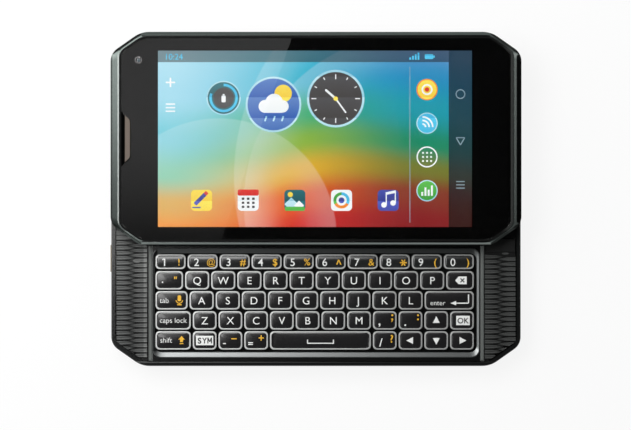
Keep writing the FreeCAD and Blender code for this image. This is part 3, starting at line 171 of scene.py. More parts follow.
def fade(lamp, axis, dark, bright, least=0.0):
    """Let a lamp get weaker along an axis, from bright to dark."""
    lamp.data.use_nodes = True
    wires = Wires(lamp.data.node_tree)
    place = wires.along(wires.node("NewGeometry", {}, {}))
    ends = (least, 1.0) if dark < bright else (1.0, least)
    strength = wires.between(place[axis], min(dark, bright), max(dark, bright), *ends)
    wires.join(wires.tree.nodes["Emission"].inputs["Strength"], strength)


soft_lamp("soft_box", (-0.188, 0.175, 0.34), (-0.188, 0.175, 0.0), (0.224, 0.37), 4.7)
back = soft_lamp("back_box", (-0.01, 0.19, 0.34), (-0.01, 0.19, 0.0), (0.13, 0.2), 5.0)
fade(back, 0, 50 * mm, -60 * mm, 0.1)
soft_lamp("right_strip", (0.3, 0.1, 0.17), (0.06, 0.04, 0.01), (0.14, 0.14), 1.5)
card = soft_lamp(
    "pale_card", (-0.2245, 0.0, 0.16), (-0.2245, 0.0, 0.0), (0.36, 0.4), 0.42, math.radians(-19.2),
)
fade(card, 1, -12 * mm, 46 * mm)
side = soft_lamp("side_strip", (-0.3, 0.14, 0.18), (-0.06, 0.06, 0.01), (0.2, 0.14), 3.4)
fade(side, 1, 2 * mm, 125 * mm)


def settle():
    """Write the active piece's place, turn and size into its mesh."""
    bpy.ops.object.transform_apply(location=True, rotation=True, scale=True)


bpy.ops.mesh.primitive_plane_add(size=6, location=(0, 0, -0.02 * mm))
table = bpy.context.object
table.name = "table_top"
settle()
table_finish = bpy.data.materials.new("white_table")
table_finish.use_nodes = True
board = Wires(table_finish.node_tree)
shader = board.tree.nodes["Principled BSDF"]
shader.inputs["Base Color"].default_value = tint(245, 245, 245)
shader.inputs["Roughness"].default_value = 0.7
seen = [
    board.node("LightPath", {}, {}, ray)
    for ray in ("Is Camera Ray", "Is Glossy Ray", "Is Transmission Ray")
]
share = board.math("MINIMUM", seen[0] + seen[1] + seen[2], 1.0) * 0.88
glow = board.node("Emission", {}, {"Color": (1, 1, 1, 1), "Strength": 1.0})
both = board.node("MixShader", {}, {0: share, 1: Signal(board, shader.outputs[0]), 2: glow})
board.join(board.tree.nodes["Material Output"].inputs["Surface"], both)
table.data.materials.append(table_finish)

bpy.context.scene.view_settings.view_transform = "Standard"
camera_height, keyboard_height, seen_width = 1.5077, 7.7 * mm, 0.1954
bpy.ops.object.camera_add(location=(-0.15 * mm, 13.78 * mm, camera_height), rotation=(0, 0, 0))
camera = bpy.context.object
camera.data.sensor_width = 36
camera.data.lens = camera.data.sensor_width * (camera_height - keyboard_height) / seen_width
camera.data.clip_start = 0.01
bpy.context.scene.camera = camera


# ------------------------------------------------------------------ rear cover
# The back of the base half, a shallow tray of moulded plastic with a soft-touch coat.
# It snaps onto the frame and is fixed by the four screws under the deck.
class Finish(Wires):
    """A material with one surface shader, its plain values set on the shader itself."""

    def __init__(self, name, values):
        self.material = bpy.data.materials.new(name)
        self.material.use_nodes = True
        super().__init__(self.material.node_tree)
        self.shader = self.tree.nodes["Principled BSDF"]
        self.set(values)

    def set(self, values):
        for name, value in values.items():
            self.join(self.shader.inputs[name], value)

    def paint(self, share, first, second):
        """Colour the surface with first where share is 0, and with second where it is 1."""
        self.set({"Base Color": self.mix(share, first, second)})

    def spot(self, shift=(0, 0, 0), turn=0.0, stretch=(1, 1, 1)):
        """Where on the piece a point lies, in metres, seen from a shifted and turned start."""
        return self.node("Mapping", {}, {
            "Vector": self.node("TexCoord", {}, {}, "Object"),
            "Location": shift, "Rotation": (0, 0, turn), "Scale": stretch,
        })

    def grain(self, grains_per_mm, detail=2.0, stretch=(1, 1, 1)):
        """Fine cloudy noise from 0 to 1."""
        return self.node("TexNoise", {}, {
            "Vector": self.spot(stretch=stretch), "Scale": 1000.0 * grains_per_mm, "Detail": detail,
        })

    def speckle(self, dark, light, *grain):
        """Colour the surface in fine clouds of two colours."""
        self.paint(self.grain(*grain), tint(*dark), tint(*light))

    def waves(self, kind, direction, scale, **place):
        """Even bands or rings from 0 to 1."""
        settings = {"wave_type": kind, kind.lower() + "_direction": direction}
        return self.node(
            "TexWave", settings, {"Vector": self.spot(**place), "Scale": scale, "Distortion": 0.0}
        )

    def relief(self, height, depth, strength=1.0):
        """Raise the surface by up to depth metres where height is 1."""
        self.set({"Normal": self.node(
            "Bump", {}, {"Height": height, "Distance": depth, "Strength": strength}
        )})

    def coat(self, *names):
        """Give this finish to solids of the frame."""
        for name in names:
            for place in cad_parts[name].material_slots:
                place.material = self.material


soft_touch = Finish("soft_touch_back", {"Roughness": 0.62})
speck = soft_touch.grain(5.0, 3.0)
soft_touch.paint(speck, tint(40, 41, 42), tint(52, 53, 54))
lines, cross_lines = [soft_touch.waves("BANDS", way, 320.0, turn=math.radians(45)) for way in "XY"]
soft_touch.relief(lines * cross_lines * 0.7 + speck * 0.3, 0.05 * mm, 0.6)
soft_touch.coat("rear_cover")

# ------------------------------------------------------------------ base frame
# The outer wall of the base half, cast metal with a matt dark coat, rounded along its upper
# edge. It carries the board, the deck and the screws.
frame_coat = Finish("frame_coat", {"Roughness": 0.18, "Specular IOR Level": 0.6})
rub = frame_coat.grain(0.35, 4.0)
lip_x, lip_y, lip_z = frame_coat.along(frame_coat.spot())
# Painted highlight: a thin light line along the inner lip on the low side, lighter to the left, where the
# light comes from, and darker to the right.
lip_highlight = frame_coat.band(lip_y, -32.0 * mm, -31.85 * mm, -31.65 * mm, -31.5 * mm)
lip_highlight = lip_highlight * frame_coat.math("GREATER_THAN", lip_z, 7.3 * mm)
lip_highlight_fades_right = frame_coat.between(lip_x, -50 * mm, 30 * mm)
frame_coat.paint(
    lip_highlight, frame_coat.mix(rub, tint(16, 17, 17), tint(23, 24, 24)),
    frame_coat.mix(lip_highlight_fades_right, tint(90, 91, 90), tint(34, 35, 34)),
)
frame_coat.relief(frame_coat.grain(9.0, 2.0), 0.01 * mm, 0.5)
frame_coat.coat("base_frame")

# ------------------------------------------------------------------ back windows
# The camera window of clear glass, the milky flash lens and the drilled steel grille of the
# loudspeaker, all let into the rear cover from outside.
window_glass = Finish("camera_window_glass", {
    "Base Color": tint(235, 240, 245), "Roughness": 0.02, "Transmission Weight": 1.0, "IOR": 1.5,
})
window_glass.relief(window_glass.grain(0.4), 0.001 * mm, 0.1)
window_glass.coat("camera_window")
flash_milk = Finish("flash_lens_plastic", {"Roughness": 0.25, "Coat Weight": 0.6})
rings = flash_milk.waves("RINGS", "Z", 900.0, shift=(48 * mm, -8.5 * mm, 0))
flash_milk.paint(rings, tint(222, 214, 176), tint(248, 244, 225))
flash_milk.relief(rings, 0.06 * mm, 0.7)
flash_milk.coat("flash_lens")
grille_steel = Finish("grille_steel", {"Metallic": 1.0, "Roughness": 0.38})
brushed = grille_steel.grain(1.2, 3.0, (1, 14, 1))
grille_steel.paint(brushed, tint(88, 88, 90), tint(122, 122, 124))
grille_steel.coat("speaker_grille")

# ------------------------------------------------------------------ inside the base half
# Main board with its shield cans, battery, camera module, loudspeaker, vibration motor and the
# three sockets. All are bought parts, screwed or soldered in place under the deck.
laminate = Finish("board_laminate", {"Roughness": 0.45, "Coat Weight": 0.4})
lanes = laminate.node(
    "TexVoronoi", {"feature": "DISTANCE_TO_EDGE"}, {"Vector": laminate.spot(), "Scale": 700.0}
)
laminate.paint(laminate.between(lanes, 0.02, 0.05), tint(70, 120, 84), tint(24, 70, 44))
laminate.coat("main_board")
tinned = Finish("tinned_steel", {"Metallic": 1.0, "Roughness": 0.32})
tinned.speckle((176, 178, 180), (206, 207, 208), 0.8, 4.0)
tinned.coat("shield_cans", "vibration_motor", "usb_socket", "hdmi_socket")
battery_film = Finish("battery_wrap", {"Roughness": 0.5})
battery_film.speckle((34, 36, 40), (48, 50, 54), 0.5, 3.0)
battery_film.relief(battery_film.grain(2.0), 0.01 * mm, 0.4)
battery_film.coat("battery")
module = Finish("module_plastic", {"Roughness": 0.4})
module.speckle((20, 20, 21), (31, 31, 32), 3.0)
module.relief(module.grain(8.0), 0.01 * mm, 0.4)
module.coat("rear_camera", "loudspeaker", "headphone_jack", "earpiece_receiver", "front_camera")
spring_steel = Finish("spring_steel", {"Metallic": 1.0, "Roughness": 0.28})
spring_steel.speckle((128, 129, 132), (166, 167, 169), 1.5)
spring_steel.coat("case_screws", "display_screws")

# ------------------------------------------------------------------ side buttons
# The power button has a bronze-plated cap; the volume rocker and the camera button are
# moulded plastic. Each sits in its own opening of the frame, on a switch.
bronze = Finish("bronze_plating", {"Metallic": 1.0, "Roughness": 0.35})
bronze.speckle((118, 109, 93), (138, 128, 111), 1.5, 3.0, (1, 8, 1))
bronze.coat("power_button")
button_plastic = Finish("button_plastic", {"Roughness": 0.45})
button_plastic.speckle((44, 45, 46), (58, 59, 60), 2.0)
button_plastic.relief(button_plastic.grain(7.0), 0.015 * mm, 0.5)
button_plastic.coat("volume_rocker", "camera_button")

# ------------------------------------------------------------------ keyboard deck
# The moulded plate that closes the base half around the keys. Two raised ribs run beside the
# keyboard; their tops are coloured a lighter grey than the rest as a painted highlight.
deck = Finish("deck_plastic", {"Roughness": 0.24, "Specular IOR Level": 0.4})
across_deck, _, deck_level = deck.along(deck.spot(shift=(-0.17 * mm, 0, 0)))
outward = deck.math("ABSOLUTE", across_deck)
# Painted highlight: the ribs' tops are coloured light grey for the light they catch.
rib_highlight = deck.band(outward, 50.55 * mm, 51.0 * mm, 51.6 * mm, 52.2 * mm)
rib_highlight = rib_highlight * deck.math("GREATER_THAN", deck_level, 7.39 * mm)
deck_speck = deck.grain(6.0, 3.0)
deck.paint(
    rib_highlight,
    deck.mix(deck_speck, tint(9, 9, 9), tint(16, 16, 16)),
    deck.mix(deck_speck, tint(96, 99, 97), tint(110, 113, 111)),
)
deck.relief(deck_speck, 0.01 * mm, 0.4)
deck.coat("keyboard_deck")

# ------------------------------------------------------------------ grips
# A ribbed rubber insert at each end of the deck, glued into its seat. Two columns of long
# lens-shaped ridges interlock, half a pitch apart, so that the thumbs find the phone's ends.
grip_pitch = 1.55 * mm
ridge_top = 7.43 * mm
grip_floor = 6.95 * mm


def clear():
    """Nothing selected, and no piece open for editing."""
    if bpy.context.object and bpy.context.object.mode != "OBJECT":
        bpy.ops.object.mode_set(mode="OBJECT")
    bpy.ops.object.select_all(action="DESELECT")


def choose(piece):
    """Only this piece selected, and active."""
    clear()
    piece.select_set(True)
    bpy.context.view_layer.objects.active = piece


def open_all():
    """Open the active piece for editing with all of it selected."""
    bpy.ops.object.mode_set(mode="EDIT")
    bpy.ops.mesh.select_all(action="SELECT")


def pick(piece, wanted):
    """Open a piece for editing with only the wanted faces selected."""
    clear()
    bpy.context.view_layer.objects.active = piece
    bpy.context.tool_settings.mesh_select_mode = (False, False, True)
    for part in (*piece.data.vertices, *piece.data.edges):
        part.select = False
    for face in piece.data.polygons:
        face.select = wanted(face)
    bpy.ops.object.mode_set(mode="EDIT")


def rectangle(name, left, right, low, high, level):
    """A flat face, opened for editing with all of it selected."""
    clear()
    bpy.ops.mesh.primitive_plane_add(size=1, location=((left + right) / 2, (low + high) / 2, level))
    piece = bpy.context.object
    piece.name = name
    piece.scale = (right - left, high - low, 1)
    settle()
    open_all()
    return piece


def plate(corners, radius, place, flat=1.0):
    """A flat disc or oval, opened for editing with all of it selected."""
    clear()
    bpy.ops.mesh.primitive_circle_add(vertices=corners, radius=radius, fill_type="NGON", location=place)
    piece = bpy.context.object
    piece.scale = (1, flat, 1)
    settle()
    open_all()
    return piece


def raise_by(rise):
    """Extrude what is selected straight up, or down where rise is negative."""
    bpy.ops.mesh.extrude_region_move(TRANSFORM_OT_translate={"value": (0, 0, rise)})


def widen(x, y, centre):
    """Scale what is selected in the level plane."""
    bpy.ops.transform.resize(value=(x, y, 1), center_override=centre)


def terrace(centre, steps):
    """Extrude and scale a face in steps, each a rise in millimetres and a share of the size."""
    for rise, size in steps:
        raise_by(rise * mm)
        widen(size, size, centre)


def close(piece, finishes, angle=35):
    """Finish editing: normals out, soft shading, materials in their slots."""
    if piece.mode != "EDIT":
        bpy.context.view_layer.objects.active = piece
    open_all()
    bpy.ops.mesh.remove_doubles(threshold=0.0005 * mm)
    bpy.ops.mesh.normals_make_consistent(inside=False)
    choose(piece)
    bpy.ops.object.shade_smooth_by_angle(angle=math.radians(angle))
    for finish in finishes:
        piece.data.materials.append(finish.material)
    clear()
    return piece


def placed(name, data):
    """A new piece in the scene with this mesh or curve."""
    made = bpy.data.objects.new(name, data)
    bpy.context.scene.collection.objects.link(made)
    return made


def woven(name, points, faces):
    """A new piece from its points and faces."""
    mesh = bpy.data.meshes.new(name)
    mesh.from_pydata(points, [], faces)
    return placed(name, mesh)


def copy_to(piece, shift, name):
    """The same piece again, with a mesh of its own, moved by shift."""
    made = placed(name, piece.data.copy())
    made.data.transform(Matrix.Translation(shift))
    return made


def join(pieces, name):
    """Make one piece of several, under a name."""
    choose(pieces[0])
    for piece in pieces[1:]:
        piece.select_set(True)
    if len(pieces) > 1:
        bpy.ops.object.join()
    pieces[0].name = name
    clear()
    return pieces[0]


def chamfer_at(y):
    """How far out the grip reaches at y, where the phone's corner is cut off."""
    return 53.4 * mm + max(0.0, y + 31.35 * mm) * 9.4 / 6.6


def ridge(blunt, tip, middle, floor=grip_floor, top=ridge_top):
    """A ridge with a double crest, blunt where it starts and pointed like a lens at its tip."""
    clear()
    bpy.ops.mesh.primitive_grid_add(x_subdivisions=10, y_subdivisions=10, size=2)
    piece = bpy.context.object
    profile = (
        (-0.69, 0.0), (-0.62, 0.6), (-0.5, 0.9), (-0.36, 1.0), (-0.18, 0.84), (0.0, 0.66),
        (0.18, 0.84), (0.36, 1.0), (0.5, 0.9), (0.62, 0.6), (0.69, 0.0),
    )
    for point in piece.data.vertices:
        step, across = round((point.co.x + 1) * 5), round((point.co.y + 1) * 5)
        share = max(0, step - 1) / 9
        narrow = max(0.04, 1 - share ** 2.2)
        side, rise = profile[across]
        x = blunt + (tip - blunt) * share
        curl = 0.15 * mm * min(1.0, max(0.0, (53.6 * mm - abs(x)) / (1.0 * mm)))
        height = 0.0 if step == 0 else rise * (narrow ** 0.4) * (top - floor + curl)
        y = middle + side * narrow * mm
        x = math.copysign(min(abs(x), chamfer_at(y)), x)
        point.co = (x, y, floor + height)
    return close(piece, [rubber], 50)


rubber = Finish("grip_rubber", {"Roughness": 0.42, "Specular IOR Level": 0.3})
rubber_grain = rubber.grain(5.0, 3.0)
rubber_x, rubber_y, rubber_height = rubber.along(rubber.spot())
on_left = rubber.math("LESS_THAN", rubber_x, 0.0)
# Painted light: the rubber is lighter on the left and darker to the right, as the light falls from the
# left; the grain is the rubber's own.
rubber_tone_and_painted_light = rubber.mix(
    rubber.between(rubber_x, -62 * mm, 60 * mm),
    rubber.mix(rubber_grain, tint(88, 89, 88), tint(104, 105, 104)),
    rubber.mix(rubber_grain, tint(60, 61, 60), tint(74, 75, 74)),
)
# Painted highlight on the inner ends of the left grip's ridges.
ends = rubber.between(rubber_x, -53.7 * mm, -52.9 * mm) * on_left
rubber_tone_and_painted_light = rubber.mix(ends * 0.55, rubber_tone_and_painted_light, tint(148, 149, 147))
# Painted shade: the left grip gets darker towards the bottom.
left_low_shade = rubber.between(rubber_y, 0.0, -16 * mm) * on_left
rubber_tone_and_painted_light = rubber.mix(left_low_shade * 0.3, rubber_tone_and_painted_light, tint(22, 22, 22))
# Painted shade: the right grip's cheek, by the screen half's lower edge, is painted almost black.
cheek_shade = rubber.math("GREATER_THAN", rubber_y, 2.29 * mm) * (1 - on_left)
rubber_tone_and_painted_light = rubber.mix(cheek_shade * 0.85, rubber_tone_and_painted_light, tint(6, 6, 6))
# Painted shade in the grooves: the rubber low between the ridges is painted almost black.
rubber.paint(rubber.between(rubber_height, 7.1 * mm, 7.36 * mm), tint(8, 8, 8), rubber_tone_and_painted_light)
rubber.relief(rubber_grain, 0.012 * mm, 0.5)

seat_floor, inner_end, outer_end = 6.42 * mm, 52.3 * mm, 61.8 * mm
# each column of ridges: blunt end, tip and height of one ridge, in millimetres
left_columns = ((61.8, 55.5, -11.92), (52.35, 58.5, -11.15))
right_columns = ((61.8, 55.5, -12.3), (52.35, 58.5, -11.55))
for side_name, facing, columns in (("left_grip", -1, left_columns), ("right_grip", 1, right_columns)):
    low_corner, high_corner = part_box(side_name)
    left, right = sorted((facing * inner_end, facing * outer_end))
    slab = rectangle(side_name + "_slab", left, right, low_corner.y, high_corner.y, seat_floor)
    bpy.ops.mesh.bisect(
        plane_co=(facing * 53.35 * mm, low_corner.y, 0), plane_no=(facing * 6.6, -9.4, 0),
        clear_outer=True, use_fill=False,
    )
    bpy.ops.mesh.select_all(action="SELECT")
    raise_by(grip_floor - seat_floor)
    parts = [close(slab, [rubber])]
    highest = high_corner.y - 0.8 * mm
    if facing > 0:
        highest = 1.6 * mm
        cheek_top = high_corner.y - 0.1 * mm
        cheek = rectangle("cheek", left + 0.1 * mm, right - 0.1 * mm, 2.3 * mm, cheek_top, grip_floor)
        raise_by(0.3 * mm)
        widen(0.985, 0.96, ((left + right) / 2, 4.4 * mm, 0))
        parts.append(close(cheek, [rubber]))
    for blunt, tip, phase in columns:
        model = None
        for number in range(-16, 18):
            y = phase * mm + number * grip_pitch
            if not -30.9 * mm <= y <= highest or chamfer_at(y) - min(blunt, tip) * mm < 0.9 * mm:
                continue
            full = chamfer_at(y - 0.7 * mm) > max(blunt, tip) * mm
            if full and model:
                parts.append(copy_to(model, (0, y - model_y, 0), "ridge"))
                continue
            made = ridge(facing * blunt * mm, facing * tip * mm, y)
            parts.append(made)
            if full:
                model, model_y = made, y
        if facing < 0 and blunt > tip:
            # two low ridges on the flat place above the column
            for number in (1, 2):
                y = model_y + (number + round((highest - model_y) / grip_pitch - 0.5)) * grip_pitch
                parts.append(ridge(-61.8 * mm, -55.5 * mm, y, 7.38 * mm, 7.56 * mm))
    radius, x, y, flat = (1.3, -55.4, -0.46, 0.46) if facing < 0 else (1.15, 58.7, 1.85, 0.3)
    place = (x * mm, y * mm, grip_floor)
    pip = plate(28, radius * mm, place, flat)
    terrace(place, ((0.46, 0.96), (0.05, 0.85), (-0.06, 0.7), (-0.01, 0.4)))
    parts.append(close(pip, [rubber]))
    grip = join(parts, side_name + "_ridges")
    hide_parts(side_name)
    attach(grip, "base_half")

# ------------------------------------------------------------------ keyboard layers
# The circuit film with its snap domes and the rubber mat above it fill the opening of the
# trim; both show only as dark joints between the keys.
film = Finish("circuit_film", {"Roughness": 0.4})
film.speckle((60, 52, 30), (84, 72, 40), 1.0)
film.coat("dome_sheet")
mat = Finish("mat_rubber", {"Roughness": 0.8, "Specular IOR Level": 0.1})
mat.speckle((3, 3, 3), (7, 7, 7), 5.0)
mat.coat("key_mat")

# ------------------------------------------------------------------ keys
# Fifty-four caps of moulded plastic: a pale clear-coated body that shows as a line around each
# key, and a domed glossy black top. The legends are printed on top, white and orange.
key_foot, key_shoulder, key_peak = 6.65 * mm, 7.36 * mm, 7.55 * mm
key_gap, outline = 0.62 * mm, 0.5 * mm
capital_height = 0.729  # of the built-in font, as a share of its size

key_body = Finish("key_body", {"Roughness": 0.3, "Coat Weight": 0.5})
from_middle, _, key_height = key_body.along(key_body.spot())
# Painted light: the pale body is lighter on the left of the keyboard and darker to the right, as the light
# falls from the left.
to_right = key_body.between(from_middle, -50 * mm, 50 * mm)
pale = key_body.mix(to_right, tint(208, 208, 207), tint(158, 158, 157))
pale = key_body.mix(key_body.grain(3.0) * 0.15, pale, tint(225, 225, 224))
key_body.paint(key_body.between(key_height, 7.17 * mm, 7.21 * mm), tint(18, 18, 18), pale)
glossy = {"Roughness": 0.2, "Specular IOR Level": 0.7, "Coat Weight": 0.3, "Coat Roughness": 0.05}
key_black = Finish("key_black", glossy)
key_black.speckle((26, 25, 26), (34, 33, 34), 4.0)
key_grey = Finish("key_grey", glossy)
key_grey.speckle((29, 30, 30), (38, 39, 39), 4.0)
white_ink = Finish("white_ink", {"Roughness": 0.5})
white_ink.speckle((232, 232, 230), (250, 250, 248), 6.0)
dark_ink = Finish("dark_ink", {"Roughness": 0.5})
dark_ink.speckle((16, 16, 16), (28, 28, 28), 6.0)
orange_ink = Finish("orange_ink", {"Roughness": 0.5})
orange_ink.speckle((234, 176, 36), (246, 190, 54), 6.0)


def key_cap(name, left, right, low, high, top, fall=(0.5, 0.5)):
    """One key: rounded body, pale shoulder, domed top."""
    piece = rectangle(name, left, right, low, high, key_foot)
    bpy.ops.mesh.bevel(affect="VERTICES", offset=1.25 * mm, segments=5)
    bpy.ops.mesh.select_all(action="SELECT")
    raise_by(key_shoulder - key_foot - 0.16 * mm)
    wide, deep = right - left, high - low
    centre = ((left + right) / 2, (low + high) / 2, key_foot)
    steps = ((0, 0), (0.06, 0.1), (0.24, 0.06), (0.42, -0.01), (outline / mm, -0.07))
    for (before, _), (inset, rise) in zip(steps, steps[1:]):
        raise_by(rise * mm)
        before, inset = 2 * before * mm, 2 * inset * mm
        widen((wide - inset) / (wide - before), (deep - inset) / (deep - before), centre)
    base = key_shoulder - 0.08 * mm
    shares = (1.0, 0.95, 0.88, 0.79, 0.69, 0.58, 0.46, 0.33, 0.19)
    terrace(centre, [(0.0, share / before) for before, share in zip(shares, shares[1:])])
    clear()
    half = (wide / 2 - outline, deep / 2 - outline)
    for point in piece.data.vertices:
        x, y = (point.co.x - centre[0]) / half[0], (point.co.y - centre[1]) / half[1]
        if max(abs(x), abs(y)) < 0.999 and abs(point.co.z - base) < 0.001 * mm:
            point.co.z = base + (key_peak - base) * (1 - fall[0] * x * x - fall[1] * y * y)
    close(piece, [key_body, top], 40)
    corners, black_ring = 24, 4
    for face in piece.data.polygons:
        face.material_index = 1 if min(face.vertices) // corners >= black_ring else 0
    return piece


class Prints:
    """What is printed on one key, measured in millimetres from the middle of its cap."""

    def __init__(self, cap, x, y):
        self.cap, self.x, self.y, self.marks = cap, x, y, []

    def wrap(self, mark, ink, lift, cuts):
        """Lay a flat mark on the cap's dome, cut finely enough to follow it."""
        choose(mark)
        open_all()
        bpy.ops.mesh.quads_convert_to_tris()
        bpy.ops.mesh.subdivide(number_cuts=cuts)
        bpy.ops.object.mode_set(mode="OBJECT")
        wrap_on = mark.modifiers.new("wrap", "SHRINKWRAP")
        wrap_on.target = self.cap
        wrap_on.wrap_method = "PROJECT"
        wrap_on.use_project_x = wrap_on.use_project_y = False
        wrap_on.use_project_z = True
        wrap_on.use_negative_direction = True
        wrap_on.use_positive_direction = False
        wrap_on.offset = lift * mm
        bpy.ops.object.modifier_apply(modifier="wrap")
        mark.data.materials.clear()
        mark.data.materials.append(ink.material)
        for face in mark.data.polygons:
            face.material_index = 0
        self.marks.append(mark)

    def text(self, words, high, x, y, ink, bold=0.0, lift=0.03):
        """Words with capitals of this height, x and y at their middle."""
        clear()
        bpy.ops.object.text_add(location=(0, 0, 0))
        mark = bpy.context.object
        mark.data.body = words
        mark.data.align_x = "CENTER"
        mark.data.size = 1.0
        mark.data.offset = bold
        bpy.ops.object.convert(target="MESH")
        mark = bpy.context.object
        scale = high * mm / capital_height
        mark.data.transform(Matrix.Diagonal((scale, scale, 1, 1)))
        place = (self.x + x * mm, self.y + (y - high / 2) * mm, 8 * mm)
        mark.data.transform(Matrix.Translation(place))
        self.wrap(mark, ink, lift, 2)

    def figure(self, points, ink, lift=0.02, cuts=2):
        """A filled outline."""
        corners = [(self.x + x * mm, self.y + y * mm, 8 * mm) for x, y in points]
        self.wrap(woven("mark", corners, [tuple(range(len(corners)))]), ink, lift, cuts)

    def bar(self, x, y, length, width, ink, turn=0, lift=0.02):
        """A stroke, turned by some degrees."""
        cosine, sine = math.cos(math.radians(turn)), math.sin(math.radians(turn))
        corners = [(a * length / 2, b * width / 2) for a, b in ((-1, -1), (1, -1), (1, 1), (-1, 1))]
        corners = [(x + a * cosine - b * sine, y + a * sine + b * cosine) for a, b in corners]
        self.figure(corners, ink, lift, max(2, int(length * mm / (0.5 * mm))))

    def rounded(self, x, y, wide, high, corner, ink):
        """A bar with round corners."""
        points = []
        for turn, side, way in ((0, 1, 1), (90, -1, 1), (180, -1, -1), (270, 1, -1)):
            for step in range(5):
                angle = math.radians(turn + 22.5 * step)
                points.append((
                    x + side * (wide / 2 - corner) + corner * math.cos(angle),
                    y + way * (high / 2 - corner) + corner * math.sin(angle),
                ))
        self.figure(points, ink)

    def bow(self, x, y, radius, width, start, end, ink):
        """A part of a ring, from start to end degrees."""
        angles = [math.radians(start + (end - start) * n / 12) for n in range(13)]
        self.figure([
            (x + reach * math.cos(a), y + reach * math.sin(a))
            for reach, order in ((radius, angles), (radius - width, angles[::-1])) for a in order
        ], ink)

    def arrow(self, turn):
        """A triangle that points to the right, or where some degrees turn it."""
        around = [math.radians(turn + step) for step in (0, 125, 235)]
        self.figure([(1.32 * math.cos(a), 1.32 * math.sin(a)) for a in around], white_ink, cuts=4)

    def keep(self, name, node_name):
        """Join the cap with its prints, in the place of a cap of the frame."""
        cap = join([self.cap] + self.marks, name)
        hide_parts(node_name)
        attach(cap, node_name)


# the second signs that need another height, place or weight than the rest
odd_signs = {
    "@": (1.98, 2.6, 0.0, -0.004), "%": (2.2, 2.6, 0.0, 0.0), "&": (2.2, 2.65, -0.1, 0.0),
    "^": (2.7, 2.5, -0.55, 0.012), ")": (2.2, 2.85, -0.05, 0.01), "(": (2.2, 2.6, -0.05, 0.01),
}
rows = (
    ("number_keys", ("1!", "2@", "3#", "4$", "5%", "6^", "7&", "8*", "9(", "0)")),
    ("top_letter_keys", "QWERTYUIOP"),
    ("home_letter_keys", "ASDFGHJKL"),
    ("bottom_letter_keys", "ZXCVBNM"),
)
for node_name, marks in rows:
    low_corner, high_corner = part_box(node_name)
    pitch = (high_corner.x - low_corner.x + key_gap) / len(marks)
    height = (low_corner.y + high_corner.y) / 2
    numbered = node_name == "number_keys"
    model = key_cap(
        "key_model", low_corner.x, low_corner.x + pitch - key_gap, low_corner.y, high_corner.y,
        key_grey if numbered else key_black, (0.1, 0.9) if numbered else (0.5, 0.5),
    )
    for number, mark in enumerate(marks):
        cap = copy_to(model, (number * pitch, 0, 0), "cap")
        prints = Prints(cap, low_corner.x + number * pitch + (pitch - key_gap) / 2, height)
        if numbered:
            prints.text(mark[0], 2.45, -1.85, -0.08, white_ink, 0.004)
            if mark[1] == "*":
                for turn in (0, 60, 120):
                    prints.bar(2.65, -0.3, 2.15, 0.34, orange_ink, turn)
            else:
                size, x, y, bold = odd_signs.get(mark[1], (2.2, 2.6, -0.05, 0.008))
                prints.text(mark[1], size, x, y, orange_ink, bold)
            if mark[0] == "1":
                prints.bar(-2.2, 0.78, 0.8, 0.3, white_ink, 32)
        else:
            prints.text(mark, 2.4, 0, 0, white_ink)
        if mark in ("F", "J"):
            prints.bar(0.8, (low_corner.y - height) / mm + 0.9, 1.5, 0.2, key_grey, 0, 0.05)
        prints.keep(node_name[:-1] + "_" + mark[0].lower(), node_name)
    bpy.data.objects.remove(model)

